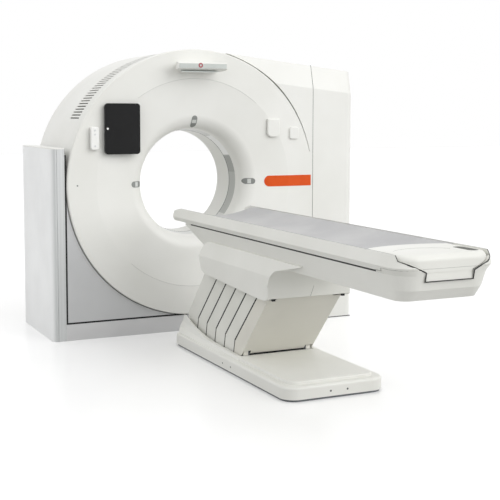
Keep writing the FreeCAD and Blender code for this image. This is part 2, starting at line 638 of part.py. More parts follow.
def make_front_cover():
    """Round face, shallow dish and rounded funnel in one shell, with its square lower right corner."""
    body = bore_body("front_cover")
    plate_back = "-front_reach + shell"
    slab(body, "XZ", [box_outline("0", "-iso_height + plinth_height + shadow_gap",
                                  "tower_seam - seam_gap / 2", "tower_low - seat")],
         "-front_reach", plate_back)
    slab(body, "XZ", [("0", "0", "crease_radius + crease_lap")], "-front_reach - 1", plate_back + " + 1",
         cut=True)
    lip = "throat_radius + lip_round"
    turned(body, [[
        ("-front_reach + rim_chamfer", "disc_radius"),
        ("-front_reach", "disc_radius - rim_chamfer"),
        ("-front_reach", "crease_radius"),
        ("-front_reach + dish_depth", lip),
        ("lip_y", "throat_radius", "lip_round", 1),
        ("light_start - seat", "light_radius"),
        ("light_start - seat", "light_radius + shell"),
        ("lip_y", "throat_radius + shell"),
        ("-front_reach + dish_depth + shell", lip, "lip_round - shell", -1),
        (plate_back, "crease_radius"),
        (plate_back, "disc_radius - 2 * shell"),
        (plate_back + " + shell", "disc_radius - shell"),
        ("-front_reach + disc_rim", "disc_radius - shell"),
        ("-front_reach + disc_rim", "disc_radius"),
    ]])


def make_drum_shell():
    """Outer shell behind the front cover, with the row of vent slots at its upper left."""
    body = bore_body("drum_shell", turn="-louvre_start")
    start = "-front_reach + disc_rim + seat"
    shell = turned(body, [box_outline(start, "drum_radius - shell", "rear_reach - shell - seat",
                                      "drum_radius")])
    shell.Type = "TwoAngles"
    shell.setExpression("Angle", bound("180 - drum_open / 2 + louvre_start"))
    shell.setExpression("Angle2", bound("180 - drum_open / 2 - louvre_start"))
    slot_start = start + " + louvre_inset"
    slot = slab(body, "XY", [box_outline("-louvre_height / 2", slot_start,
                                         "louvre_height / 2", slot_start + " + louvre_length")],
                "drum_radius - 2 * shell", "drum_radius + shell", cut=True)
    around_bore(body, slot, "louvre_span", "louvre_count")


def make_rear_cover():
    """Rear ring and funnel."""
    body = bore_body("rear_cover")
    inner = "liner_radius + rear_round"
    outer_y = "liner_half + seat + (rear_round - shell) * sin(rear_flare * 1deg)"
    outer_radius = inner + " - (rear_round - shell) * cos(rear_flare * 1deg)"
    outer_mouth = outer_radius + " + (rear_reach - shell - (" + outer_y + ")) * tan(rear_flare * 1deg)"
    turned(body, [[
        ("liner_half + seat", "liner_radius"),
        ("rear_turn_y", "rear_turn_radius", "rear_round", 1),
        ("rear_reach", "rear_mouth"),
        ("rear_reach", "drum_radius"),
        ("rear_reach - shell", "drum_radius"),
        ("rear_reach - shell", outer_mouth),
        (outer_y, outer_radius),
        ("liner_half + seat", "liner_radius + shell", "rear_round - shell", -1),
    ]])


def make_bore_liner():
    body = bore_body("bore_liner")
    turned(body, [box_outline("-liner_half", "liner_radius", "liner_half", "liner_radius + liner_wall")])


def make_light_ring():
    """Translucent ring between the funnel and the liner."""
    body = bore_body("light_ring")
    end = "-(liner_half + seat)"
    turned(body, [[
        ("light_start", "light_radius"), (end, "liner_radius"),
        (end, "liner_radius + light_wall"), ("light_start", "light_radius + light_wall")]])


def stadium(start, end, half, upright=True):
    """Slot outline with round ends, upright or lying, from start to end."""
    low, high = "(" + start + ") + " + half, "(" + end + ") - " + half
    if upright:
        return [(half, low, half, 1), (half, high), ("0", end, half, 1), ("-" + half, high, half, 1),
                ("-" + half, low), ("0", start, half, 1)]
    return [(high, "-" + half), (end, "0", half, 1), (high, half, half, 1), (low, half),
            (start, "0", half, 1), (low, "-" + half, half, 1)]


def make_laser_windows():
    """Three curved windows on the funnel's lip: left, top and right."""
    body = bore_body("laser_windows", turn="-90")
    lip = "throat_radius + lip_round"
    window = turned(body, [[
        ("-front_reach + dish_depth - seat", lip, "lip_round + seat", -1),
        ("-front_reach + dish_depth - window_proud", lip),
        ("lip_y", "throat_radius - window_proud", "lip_round + window_proud", 1),
        ("lip_y", "throat_radius - seat"),
    ]], "window_angle")
    pattern = around_bore(body, window, "180", "3")
    pattern.Reversed = False
    reach = "window_outer + 2 * window_half"
    slab(body, "XZ", [
        box_outline("-(" + reach + ")", "-(" + reach + ")", reach, reach),
        stadium("window_inner", "window_outer", "window_half"),
        stadium("-window_outer", "-window_inner", "window_half"),
        stadium("window_inner", "window_outer", "window_half", upright=False)],
         "-front_reach - 1", "lip_y + 1", cut=True)


def make_plinth():
    body = new_body("plinth")
    slab(body, "XZ", [box_outline("-column_inner", "0", "tower_seam + seam_gap / 2 - seat",
                                  "plinth_height")], "-frame_front", "frame_rear")


def make_shadow_strip():
    """Dark strip that closes the joints beside the column and above the plinth."""
    body = new_body("shadow_strip")
    inner = "-column_inner + shadow_gap - seat"
    top = "plinth_height + shadow_gap - seat"
    slab(body, "XZ", [[
        ("-column_inner", "plinth_height"),
        ("tower_seam - seam_gap", "plinth_height"),
        ("tower_seam - seam_gap", top),
        (inner, top),
        (inner, "iso_height + tower_low"),
        ("-column_inner", "iso_height + tower_low"),
    ]], "-frame_front + strip_back", "-frame_front + strip_back + strip_thick")
    slab(body, "XZ", [("0", "iso_height", "disc_radius + seat")], "-frame_front + strip_back - 1",
         "-frame_front + strip_back + strip_thick + 1", cut=True)


def column_outline():
    outer = "-column_inner - column_width"
    return [
        (outer, "frame_rear"),
        (outer, "-frame_front + column_round"),
        (outer + " + column_round", "-frame_front", "column_round", 1),
        ("-column_inner", "-frame_front"),
        ("-column_inner", "frame_rear")]


def make_column():
    body = new_body("left_column")
    slab(body, "XY", [column_outline()], "0", "column_height")
    groove = "-column_inner - column_width + column_round + column_groove"
    slab(body, "XY", [box_outline(groove, "-frame_front - 1", groove + " + column_groove",
                                  "-frame_front + column_groove")],
         "-1", "column_height + 1", cut=True)


def make_column_cap():
    body = new_body("column_cap")
    slab(body, "XY", [column_outline()], "column_height", "column_height + cap_height")
    rounded(body, "cap_height / 2", lambda edge: near(edge.BoundBox.ZMin, "column_height + cap_height"))


def make_corner_panel():
    """Grey panel left below the round face."""
    body = bore_body("corner_panel")
    left = "-column_inner + shadow_gap"
    slab(body, "XZ", [box_outline(left, "-iso_height + plinth_height + shadow_gap", "-seat", "0")],
         "-frame_front", "-frame_front + shell")
    slab(body, "XZ", [("0", "0", "disc_radius + disc_gap")], "-frame_front - 1",
         "-frame_front + shell + 1", cut=True)


def make_rear_panel():
    """Plain panel that closes both lower rear corners."""
    body = bore_body("rear_panel")
    slab(body, "XZ", [box_outline("-column_inner", "-iso_height + plinth_height",
                                  "tower_seam + seam_gap / 2 - seat", "tower_low - seat")],
         "frame_rear - shell", "frame_rear")
    slab(body, "XZ", [("0", "0", "drum_radius + seat")], "frame_rear - shell - 1", "frame_rear + 1",
         cut=True)


def tower_top(across):
    """Height above the bore's axis of the tower's sloping top."""
    reach = "(disc_radius + tower_lap)"
    return "(" + reach + " - (" + across + ") * sin(tower_slope * 1deg)) / cos(tower_slope * 1deg)"


def lean_cut(body, left, right):
    """Cuts the front of the tower's top band so that it leans back."""
    sections = []
    for across in (left, right):
        top = tower_top(across)
        sections.append(new_sketch(body, "YZ", [[
            ("-front_reach", top + " - lean_drop"),
            ("-front_reach + lean_back * 1.2", top + " + 0.2 * lean_drop"),
            ("-front_reach - 5", top + " + 0.2 * lean_drop"),
            ("-front_reach - 5", top + " - lean_drop"),
        ]], across))
    lofted(body, sections, cut=True)


def make_tower_upper():
    """Cover between the round face and the tower; the groove beside its concave edge tapers.

    The outline's corners at 0.6, 0.86 and 0.9 of the disc's radius lie inside the round that is cut out.
    """
    body = bore_body("tower_upper_cover")
    right = "tower_seam - seam_gap / 2"
    slab(body, "XZ", [[
        ("tower_start", tower_top("tower_start")),
        ("tower_start", "0.86 * disc_radius"),
        ("0.6 * disc_radius", "0.6 * disc_radius"),
        ("0.9 * disc_radius", "tower_low"),
        (right, "tower_low"),
        (right, tower_top(right)),
    ]], "-front_reach", "tower_rear")
    for shape in (("0", "groove_rise", "disc_radius + rim_groove - groove_rise"),
                  ("0", "0", "disc_radius + seat")):
        slab(body, "XZ", [shape], "-front_reach - 1", "-front_reach + disc_rim", cut=True)
    slab(body, "XZ", [("0", "0", "drum_radius + seat")], "-front_reach + disc_rim", "tower_rear + 1",
         cut=True)
    lean_cut(body, "tower_start - 1", right + " + 1")


def make_tower_side():
    """Tall closed housing at the right, standing on the floor."""
    body = bore_body("tower_side_cover")
    left = "tower_seam + seam_gap / 2"
    slab(body, "XZ", [[
        (left, "-iso_height"), ("tower_right", "-iso_height"),
        ("tower_right", tower_top("tower_right")), (left, tower_top(left)),
    ]], "-front_reach", "tower_rear")
    lean_cut(body, left + " - 1", "tower_right + 1")
    rounded(body, "tower_round", lambda edge: near(edge.BoundBox.XMin, "tower_right")
            and edge.BoundBox.YMax < number("-front_reach + lean_back + 1")
            and edge.BoundBox.ZLength > 0.8 * number("lean_drop"))


# --- Gantry: what is fixed to the front ---------------------------------------------------------

def make_display_hood():
    """Hood over the bore: wide in front, narrow at the disc, with a sloping underside."""
    body = bore_body("display_hood")
    face = "-front_reach - hood_reach"
    slab(body, "YZ", [[
        ("-front_reach", "hood_top"), (face + " + hood_lean", "hood_top + hood_rise"),
        (face, "hood_top - hood_bevel"), (face, "hood_top - hood_edge"),
        (face + " + hood_lean", "hood_top - hood_edge - hood_bevel"),
        ("-front_reach", "hood_top - hood_drop")]],
         "-hood_width / 2", "hood_width / 2")
    taper = slab(body, "XY", [[
        ("hood_width / 2 + 1", face + " + hood_edge"), ("hood_width / 2 + 1", "-front_reach + 1"),
        ("hood_foot / 2", "-front_reach + 1"), ("hood_width / 2", face + " + hood_edge")]],
                 "hood_top - hood_drop - 1", "hood_top + 3", cut=True)
    corner = corner_cut(body, "hood_width / 2", face, "hood_round", -1, "hood_top - hood_drop",
                        "hood_top + 3")
    other_side(body, [taper, corner])


def make_display_strip():
    """Glass strip on the hood's front edge."""
    body = bore_body("display_strip")
    face = "-front_reach - hood_reach"
    reach = "hood_width / 2 - strip_inset"
    low = "hood_top - hood_edge + strip_low"
    slab(body, "XZ", [box_outline("-(" + reach + ")", low, reach, low + " + strip_high")],
         face + " - strip_proud", face)


def make_tablet():
    """Tablet computer on its bracket."""
    left, right = "tablet_x - tablet_width / 2", "tablet_x + tablet_width / 2"
    low, high = "tablet_z - tablet_height / 2", "tablet_z + tablet_height / 2"
    front = "-front_reach - bracket_reach"
    bracket = bore_body("tablet_bracket")
    slab(bracket, "XZ", [box_outline(left + " + bracket_inset", low + " + bracket_inset",
                                     right + " - bracket_inset", high + " - bracket_inset")],
         front + " - bracket_thick", front)
    foot, top = left + " + bracket_left", high + " - bracket_drop"
    slab(bracket, "XZ", [box_outline(foot, top + " - bracket_height", foot + " + bracket_width", top)],
         front, "-front_reach")
    case = bore_body("tablet_case")
    back = front + " - bracket_thick - seat"
    slab(case, "XZ", [round_outline(left, low, right, high, "tablet_round")],
         back + " - tablet_thick", back)
    screen = bore_body("tablet_screen")
    slab(screen, "XZ", [round_outline(left + " + glass_inset", low + " + glass_inset",
                                      right + " - glass_inset", high + " - glass_inset",
                                      "(tablet_round - glass_inset)")],
         back + " - tablet_thick - glass_thick", back + " - tablet_thick")


BUTTON_ROWS = [
    ("button_raise", "remote_height / 2 - button_first"),
    ("button_lower", "remote_height / 2 - button_first - button_pitch"),
    ("button_release", "-remote_height / 2 + button_last"),
]


def make_remote():
    """Handset in its cradle, with three buttons that sink into pockets."""
    left, right = "remote_x - remote_width / 2", "remote_x + remote_width / 2"
    low, high = "remote_z - remote_height / 2", "remote_z + remote_height / 2"
    cradle = bore_body("remote_cradle")
    slab(cradle, "XZ", [round_outline(left + " + cradle_side", low + " + cradle_end",
                                      right + " - cradle_side", high + " - cradle_end",
                                      "cradle_round")],
         "-front_reach - cradle_reach", "-front_reach")
    handset = bore_body("remote_handset")
    back = "-front_reach - cradle_reach - seat"
    face = back + " - remote_thick"
    slab(handset, "XZ", [round_outline(left, low, right, high, "remote_round")], face, back)
    rounded(handset, "remote_edge", lambda edge: near(edge.BoundBox.YMax, face))
    pockets = [("remote_x", "remote_z + " + row, "button_radius + button_gap")
               for label, row in BUTTON_ROWS]
    slab(handset, "XZ", pockets, face + " - 1", face + " + pocket_depth", cut=True)
    for label, row in BUTTON_ROWS:
        button = bore_body(label)
        slab(button, "XZ", [("remote_x", "remote_z + " + row, "button_radius")],
             face + " - button_travel - button_proud", face + " + pocket_depth - button_travel - seat")


def make_holders():
    """Two moulded holders on the right of the face."""
    body = bore_body("face_holders")
    right, turn = "holder_left + holder_width", "holder_low + holder_round"
    slab(body, "XZ", [[
        ("holder_left", "holder_high"), ("holder_left", turn),
        ("holder_left + holder_round", "holder_low", "holder_round", 1),
        (right + " - holder_round", "holder_low"), (right, turn, "holder_round", 1),
        (right, "holder_high")]],
         "-front_reach - holder_reach", "-front_reach")
    slab(body, "XZ", [round_outline("clip_left", "clip_low", "clip_left + clip_width",
                                    "clip_low + clip_height", "clip_round")],
         "-front_reach - clip_reach", "-front_reach")
    top = number("iso_height + holder_high") - 1
    rounded(body, "holder_edge", lambda edge: edge.BoundBox.ZMin < top and (
        near(edge.BoundBox.YMax, "-front_reach - holder_reach")
        or near(edge.BoundBox.YMax, "-front_reach - clip_reach")))


def make_label_plate():
    """Bare coloured plate that follows the dish, with a round left end."""
    body = bore_body("label_plate")
    lip = "throat_radius + lip_round"
    rim = "label_right + label_high"
    turned(body, [[
        ("-front_reach", rim), ("-front_reach - label_thick", rim),
        ("-front_reach - label_thick", "crease_radius"),
        ("-front_reach + dish_depth - label_thick", lip),
        ("-front_reach + dish_depth", lip), ("-front_reach", "crease_radius")]])
    end = "(label_high - label_low) / 2"
    outline = [
        ("label_right", "label_low"), ("label_right", "label_high"),
        ("label_left + " + end, "label_high"),
        ("label_left", "(label_high + label_low) / 2", end, 1),
        ("label_left + " + end, "label_low", end, 1)]
    reach = "label_right + 2 * label_high"
    slab(body, "XZ", [box_outline("-(" + reach + ")", "-(" + reach + ")", reach, reach), outline],
         "-front_reach - label_thick - 1", "-front_reach + dish_depth + 1", cut=True)


# --- Gantry: inside ----------------------------------------------------------------------------

def make_stationary_frame():
    """Steel ring plate on a broad leg; it carries the bearing and the drum."""
    body = bore_body("stationary_frame")
    back = "frame_offset + frame_plate"
    slab(body, "XZ", [("0", "0", "frame_radius")], "frame_offset", back)
    slab(body, "XZ", [("0", "0", "frame_hole")], "frame_offset - 1", back + " + 1", cut=True)


def make_frame_leg():
    """Cradle between the frame and the plinth, with the motor's bed at its right."""
    body = bore_body("frame_leg")
    front, back = "frame_offset - leg_reach", "frame_offset + frame_plate + leg_reach"
    slab(body, "XZ", [box_outline("-leg_half", "-iso_height + plinth_height", "leg_half",
                                  "-frame_radius + leg_lap")], front, back)
    slab(body, "XZ", [box_outline("0", "-iso_height + plinth_height",
                                  "pulley_x + motor_radius - motor_bed", "pulley_z")], front, back)
    for shape in (("0", "0", "frame_radius + seat"), ("pulley_x", "pulley_z", "motor_radius + seat")):
        slab(body, "XZ", [shape], front + " - 1", back + " + 1", cut=True)


def make_bearing():
    start, end = "rotor_offset + rotor_thick", "frame_offset"
    outer = bore_body("bearing_outer_ring")
    turned(outer, [box_outline(start + " + bearing_step", "bearing_radius + seat / 2", end,
                               "bearing_radius + bearing_section")])
    inner = bore_body("bearing_inner_ring")
    turned(inner, [box_outline(start, "bearing_radius - bearing_section", end + " - bearing_step",
                               "bearing_radius - seat / 2")])


def make_rotor():
    """Turning ring with the x-ray tube, its collimator, the detector and the power units."""
    plate = bore_body("rotor_plate")
    slab(plate, "XZ", [("0", "0", "rotor_radius"), ("0", "0", "rotor_bore")],
         "rotor_offset", "rotor_offset + rotor_thick")
    tube = bore_body("x_ray_tube")
    slab(tube, "XZ", [("0", "tube_height", "tube_radius")], "rotor_offset - tube_length", "rotor_offset")
    rounded(tube, "tube_edge", lambda edge: near(edge.BoundBox.YMax, "rotor_offset - tube_length"))
    collimator = bore_body("collimator")
    fan_end, tube_end = "rotor_bore + collimator_gap", "tube_height - tube_radius - collimator_gap"
    slab(collimator, "XZ", [[
        ("-collimator_half", fan_end), ("collimator_half", fan_end),
        ("collimator_flare", tube_end), ("-collimator_flare", tube_end)]],
         "rotor_offset - collimator_depth", "rotor_offset")
    detector = new_body("detector_arc", z="iso_height + tube_height", about=(0, 1, 0))
    far = "(detector_reach + detector_thick)"
    near_points, far_points = [
        [(sign + reach + " * sin(fan_half * 1deg)", "-" + reach + " * cos(fan_half * 1deg)")
         for sign in ("-", "")] for reach in ("detector_reach", far)]
    slab(detector, "XZ", [[far_points[0], far_points[1] + (far, 1), near_points[1],
                           near_points[0] + ("detector_reach", -1)]],
         "rotor_offset - detector_depth", "rotor_offset")
    units = bore_body("power_units")
    for centre in ("-power_x", "power_x"):
        slab(units, "XZ", [round_outline(centre + " - power_half", "-power_low",
                                         centre + " + power_half", "power_high", "power_round")],
             "rotor_offset - power_depth", "rotor_offset")
    slip = bore_body("slip_ring")
    back = "rotor_offset + rotor_thick"
    turned(slip, [box_outline(back, "slip_radius", back + " + slip_thick", "slip_radius + slip_band")])


def make_drive():
    """Motor, pulley and flat belt round the rim of the rotor plate."""
    pulley = bore_body("drive_pulley")
    slab(pulley, "XZ", [("pulley_x", "pulley_z", "pulley_radius"), ("pulley_x", "pulley_z", "motor_shaft")],
         "rotor_offset", "rotor_offset + rotor_thick")
    motor = bore_body("drive_motor")
    face = "frame_offset - leg_reach"
    slab(motor, "XZ", [("pulley_x", "pulley_z", "motor_radius")], face, face + " + motor_length")
    slab(motor, "XZ", [("pulley_x", "pulley_z", "motor_shaft - running_gap")],
         "rotor_offset + 2 * belt_inset", face)
    belt = doc.addObject("Part::Feature", "drive_belt")
    belt.Label = "drive_belt"
    big, small = number("rotor_radius + seat"), number("pulley_radius + seat")
    reach, thick = number("pulley_reach"), number("belt_thick")
    width = FreeCAD.Vector(0, number("rotor_thick - 2 * belt_inset"), 0)
    inside, outside = [Part.Face(belt_loop(big + grow, small + grow, reach)).extrude(width)
                       for grow in (0, thick)]
    belt.Shape = outside.cut(inside)
    belt.Placement = FreeCAD.Placement(
        FreeCAD.Vector(0, number("rotor_offset + belt_inset"), number("iso_height")),
        FreeCAD.Rotation(FreeCAD.Vector(0, 1, 0), number("pulley_angle")))


def belt_loop(big, small, reach):
    """Wire round two circles in the XZ plane: one at the origin, one straight above it."""
    rise = (big - small) / reach
    run = sqrt(1 - rise * rise)
    points = [(run * big, rise * big), (run * small, reach + rise * small),
              (-run * small, reach + rise * small), (-run * big, rise * big)]
    corner = [FreeCAD.Vector(across, 0, up) for across, up in points]
    return Part.Wire([
        Part.LineSegment(corner[0], corner[1]).toShape(),
        Part.Arc(corner[1], FreeCAD.Vector(0, 0, reach + small), corner[2]).toShape(),
        Part.LineSegment(corner[2], corner[3]).toShape(),
        Part.Arc(corner[3], FreeCAD.Vector(0, 0, -big), corner[0]).toShape()])


# --- Table: base -------------------------------------------------------------------------------

def skirt_section(body, place, corners):
    """Sketch across the table at a place along it: the space beside the fairing."""
    above, beyond = "fairing_top + 1", "base_half - fairing_inset + 1"
    outer = [(beyond, corners[-1][1]), (beyond, above)]
    return new_sketch(body, "XZ", [[(corners[0][0], above)] + corners + outer], "-(" + place + ")")


def make_base():
    """Steel plate, and a cover that sweeps up at the gantry end on both sides of the lift's well."""
    plate = new_body("table_base_plate")
    slab(plate, "XY", [round_outline("-base_half + plate_inset", "-base_front + plate_inset",
                                     "base_half - plate_inset", "-base_rear - plate_inset",
                                     "(base_round - plate_inset)")], "0", "base_plate")
    cover = new_body("table_base_cover")
    slab(cover, "XY", [round_outline("-base_half", "-base_front", "base_half", "-base_rear",
                                     "base_round")], "base_plate", "base_height")
    rounded(cover, "base_edge", lambda edge: near(edge.BoundBox.ZMin, "base_height"))
    panel = "base_half - panel_inset"
    slab(cover, "XY", [round_outline("-(" + panel + ")", "-base_front + panel_inset", panel,
                                     "-base_rear - panel_inset", "(base_round - panel_round)")],
         "base_height - 1", "panel_top")
    rounded(cover, "panel_edge", lambda edge: near(edge.BoundBox.ZMin, "panel_top"))
    side, turn = "(base_half - fairing_inset)", "(base_round - fairing_inset)"
    foot, head = "-well_front - rim_lead", "-base_rear - fairing_inset"
    slab(cover, "XY", [[
        (side, foot), (side, head + " - " + turn), (side + " - " + turn, head, turn, 1),
        ("-" + side + " + " + turn, head), ("-" + side, head + " - " + turn, turn, 1),
        ("-" + side, foot)]], "base_height - 1", "fairing_top")
    above = "fairing_top + 1"
    slab(cover, "YZ", [[
        (foot + " - 1", "panel_top + fairing_step"), ("-fairing_end", "fairing_low"),
        ("-fairing_start", "fairing_top", "fairing_bend", 1), ("-fairing_start", above),
        (foot + " - 1", above)]], "-base_half", "base_half", cut=True)
    slab(cover, "YZ", [[
        (head, "base_height + 2 * fairing_step"), (head + " + 1", "base_height + 2 * fairing_step"),
        (head + " + 1", above), (head + " - fairing_lean", above)]], "-base_half", "base_half", cut=True)
    hem = panel + " + panel_edge"
    beside_foot = skirt_section(cover, foot + " - 1", [
        ("rim_half", "fairing_low"), (panel, "panel_top + fairing_step"),
        (hem, "base_height + fairing_step"), (side, "base_height + fairing_step")])
    beside_head = skirt_section(cover, "-base_rear + 1", [
        ("fairing_half", "fairing_top"), ("fairing_half + panel_edge", "fairing_shoulder"),
        (hem, "fairing_waist"), (side, "fairing_hem")])
    other_side(cover, [lofted(cover, [beside_foot, beside_head], cut=True)])
    slab(cover, "XY", [box_outline("-well_half", "-well_front", "well_half", "-base_rear - base_plate")],
         "base_plate - 1", above, cut=True)


def make_pivot_rails(label, height_low, height_high, pivot_height, shift, gap_shaft, gap_pin):
    """Two bars with the bearing holes of the lift in one row."""
    body = new_body(label)
    front = "-front_pivot - " + shift + " - rail_edge"
    rear = "-(rear_pivot) - " + shift + " + rail_edge"
    bar = slab(body, "YZ", [box_outline(front, height_low, rear, height_high)],
               "rail_inner", "rail_inner + rail_thick")
    places = ["-front_pivot - " + shift + " + " + str(index) + " * slat_pitch"
              for index in range(int(number("slat_count")) + 2)]
    holes = []
    for index, place in enumerate(places):
        outer = index in (0, len(places) - 1)
        gap = gap_shaft if index == 0 else gap_pin
        radius = ("shaft_radius" if outer else "pin_radius") + " + " + gap
        holes.append((place, pivot_height, radius))
    bores = slab(body, "YZ", holes, "rail_inner - 1", "rail_inner + rail_thick + 1", cut=True)
    other_side(body, [bar, bores])


def make_lift_motor():
    """Gear motor across the well: a flat gearbox with the motor's drum on it."""
    body = new_body("lift_gearmotor")
    slab(body, "XY", [round_outline("-gearbox_half", "-gearbox_foot", "gearbox_half",
                                    "-gearbox_foot + gearbox_length", "gearbox_round")],
         "base_plate", "base_plate + gearbox_height")
    slab(body, "YZ", [("-gearbox_foot + gearbox_length / 2", "base_plate + gearbox_height",
                       "lift_motor_radius")],
         "-gearbox_half - gearbox_lug", "gearbox_half + gearbox_lug")


# --- Table: lift -------------------------------------------------------------------------------

def side_outline(front, rear, knee):
    """Outline of a leaf in its arm's frame; its rear edge tapers and turns down below the knee."""
    top = "arm_length + slat_high"
    return [("-" + front, "-slat_low"), (rear + " - knee_across", knee + " - knee_drop"), (rear, knee),
            (rear + " - slat_taper", "arm_length - slat_crown"),
            (rear + " - slat_taper - slat_shoulder", top), ("-" + front, top)]


def fold_notch():
    """Room in a leaf's front edge for its neighbour's pin when the table is lowest."""
    across = "-slat_pitch * cos(lift_fold * 1deg) + fold_gap"
    middle = "slat_pitch * sin(lift_fold * 1deg)"
    return [("-slat_front", middle + " + fold_gap"), (across, middle + " + fold_gap"),
            (across, middle + " - fold_lead"), ("-slat_front", middle + " - fold_lead")]


def make_arm(label, pivot, reach):
    """Pair of links between two shafts."""
    body = arm_body(label, pivot)
    face, back = "-plate_offset + plate_thick", "link_depth"
    link = slab(body, "YZ", [[
        (face, "-link_end"), (back + " - link_bevel", "-link_end"), (back, "link_end"),
        (back, "arm_length - link_end"), (back + " - link_bevel", "arm_length + link_end"),
        (face, "arm_length + link_end")]],
                "link_inner", "link_inner + link_thick")
    other_side(body, [link])
    slab(body, "YZ", [("0", "0", "shaft_radius"), ("0", "arm_length", "shaft_radius")],
         "-(" + reach + ")", reach)


def make_foot_plate():
    """Front cover of the lift: a sheet with side flanges and notches for the hinges."""
    body = arm_body("lift_foot_plate", "front_pivot")
    middle = "(lift_half - notch_width)"
    right = [(middle, "plate_low"), (middle, "notch_length"), ("lift_half", "notch_length"),
             ("lift_half", "arm_length - notch_length"), (middle, "arm_length - notch_length"),
             (middle, "arm_length + plate_high")]
    left = [("-" + across, up) for across, up in reversed(right)]
    slab(body, "XZ", [right + left], "-plate_offset", "-plate_offset + plate_thick")
    flange = slab(body, "YZ", [side_outline("plate_offset", "slat_rear", "slat_knee")],
                  "flange_inner", "lift_half")
    other_side(body, [flange])


def make_slats():
    """Pairs of leafed side slats; each lies just inside its neighbour at the foot side."""
    for index in range(1, int(number("slat_count")) + 1):
        body = arm_body("side_slat_%d" % index, "front_pivot - %d * slat_pitch" % index)
        outer = "flange_inner - (slat_step - slat_thick) - %d * slat_step" % (index - 1)
        inner = "(" + outer + ") - slat_thick"
        outline = side_outline("slat_front", "slat_rear", "(slat_knee + %d * knee_rise)" % index)
        leaf = slab(body, "YZ", [outline + fold_notch()], inner, outer)
        pins = slab(body, "YZ", [("0", "0", "pin_radius"), ("0", "arm_length", "pin_radius")],
                    "rail_inner + pin_inset", inner + " + 1")
        other_side(body, [leaf, pins])


def make_rear_plate():
    """Rear cover of the lift: a sheet with wide side flanges."""
    body = arm_body("lift_rear_plate", "rear_pivot")
    outer = "rear_inner + slat_thick"
    outline = [
        ("-slat_front", "-slat_low"), ("rear_offset - slat_rear", "rear_low - rear_flange_drop"),
        ("rear_offset", "rear_low"), ("rear_offset", "arm_length - rear_high"),
        ("rear_offset - rear_shoulder", "arm_length + slat_high / 2"),
        ("-slat_front", "arm_length + slat_high / 2")]
    flange = slab(body, "YZ", [outline + fold_notch()], "rear_inner", outer)
    other_side(body, [flange])
    slab(body, "XZ", [box_outline("-(" + outer + ")", "rear_low", outer, "arm_length - rear_high")],
         "rear_offset - plate_thick", "rear_offset")


# --- Table: frame ------------------------------------------------------------------------------

def make_housing():
    """Cover over the head of the lift: open below and towards the gantry, saddled on the tub."""
    body = new_body("lift_housing")
    front, back = "-housing_foot", "-housing_head"
    profile = [
        (front, "housing_low + housing_lip"),
        (front + " - housing_swell", "housing_low + housing_swell_top"),
        (front + " - housing_brow", "housing_top - housing_brow_drop", "housing_brow_round", 1),
        (front + " - housing_tail", "housing_top - housing_tail_thick"),
        (front + " - housing_tail", "housing_top"),
        (back + " - housing_nape", "housing_top"),
        (back, "housing_top - housing_nape_drop", "housing_nape_round", -1),
        (back + " - housing_chin", "housing_low + housing_chin_rise"),
        (back + " - housing_heel", "housing_low + housing_heel_rise"),
        (front + " + housing_flat", "housing_low"),
        (front + " + housing_lip_run", "housing_low"),
    ]
    slab(body, "YZ", [profile], "-housing_half", "housing_half")
    beyond = front + " - housing_tail - 1", back + " + 1"
    sloped = slab(body, "XZ", [[
        ("housing_half + 1", "housing_top - housing_slope_drop"), ("housing_half + 1", "housing_top + 1"),
        ("housing_half - housing_slope", "housing_top + 1")]], *beyond, cut=True)
    corner = corner_cut(body, "housing_half", front + " - housing_swell", "housing_edge", -1,
                        "housing_low - 1", "housing_low + 1.5 * housing_swell_top")
    other_side(body, [sloped, corner])
    slope = "(tub_top_half - tub_low_half) / (tub_top - tub_low)"
    narrow = "tub_low_half + tub_gap"
    wide = narrow + " + (housing_top + 1 - tub_low) * " + slope
    slab(body, "XZ", [[
        ("-(" + narrow + ")", "tub_low - seat"), (narrow, "tub_low - seat"),
        (wide, "housing_top + 1"), ("-(" + wide + ")", "housing_top + 1")]], *beyond, cut=True)
    inside = "lift_half + housing_wall"
    slab(body, "XZ", [box_outline("-(" + inside + ")", "housing_low - 1", inside, "tub_low - seat")],
         front + " + housing_wall", back + " + 1", cut=True)


def tub_plan(half, foot, nose, radius):
    return [
        (half, "-" + nose), ("-" + half, "-" + nose), ("-" + half, "-" + foot + " + " + radius),
        ("-" + half + " + " + radius, "-" + foot, radius, 1),
        (half + " - " + radius, "-" + foot), (half, "-" + foot + " + " + radius, radius, 1)]


def notch_outline(low):
    """Channel that the end cap and its tongue slide in, from low up to above the rails."""
    right = [("channel_half", low), ("channel_half", "top_under + notch_rise"),
             ("rail_gap_half", "rail_top - toe_slope"), ("rail_gap_half", "rail_top + 1")]
    return right + [("-" + across, up) for across, up in reversed(right)]


def make_tub():
    """Closed trough that carries the rails; its ends lean out, and its foot end rises to a block."""
    body = new_body("table_tub")
    levels = [
        ("tub_low_half", "tub_foot_low", "tub_nose_low", "tub_round_low", "tub_low"),
        ("tub_knee_half", "tub_foot_knee", "(tub_nose_low + (tub_nose_top - tub_nose_low)"
         " * (tub_knee - tub_low) / (tub_top - tub_low))", "tub_round_knee", "tub_knee"),
        ("tub_top_half", "tub_foot_top", "tub_nose_top", "tub_round_top", "tub_top")]
    plans = [new_sketch(body, "XY", [tub_plan(half, foot, nose, radius)], height)
             for half, foot, nose, radius, height in levels]
    lofted(body, plans[:2])
    lofted(body, plans[1:])
    block = [new_sketch(body, "XY", [tub_plan(half, foot, "block_start", "tub_round_top")], height)
             for half, foot, height in (("tub_top_half", "tub_foot_top", "tub_top"),
                                        ("block_half", "(rail_toe - block_lean)", "block_top"))]
    lofted(body, block)
    slab(body, "XZ", [notch_outline("channel_floor")], "-rail_toe - 1", "-tub_nose_top + 1", cut=True)
    slab(body, "XZ", [box_outline("-rail_gap_half", "tub_top", "rail_gap_half", "block_top + 1")],
         "-rail_toe + toe_depth", "-tub_nose_top + 1", cut=True)


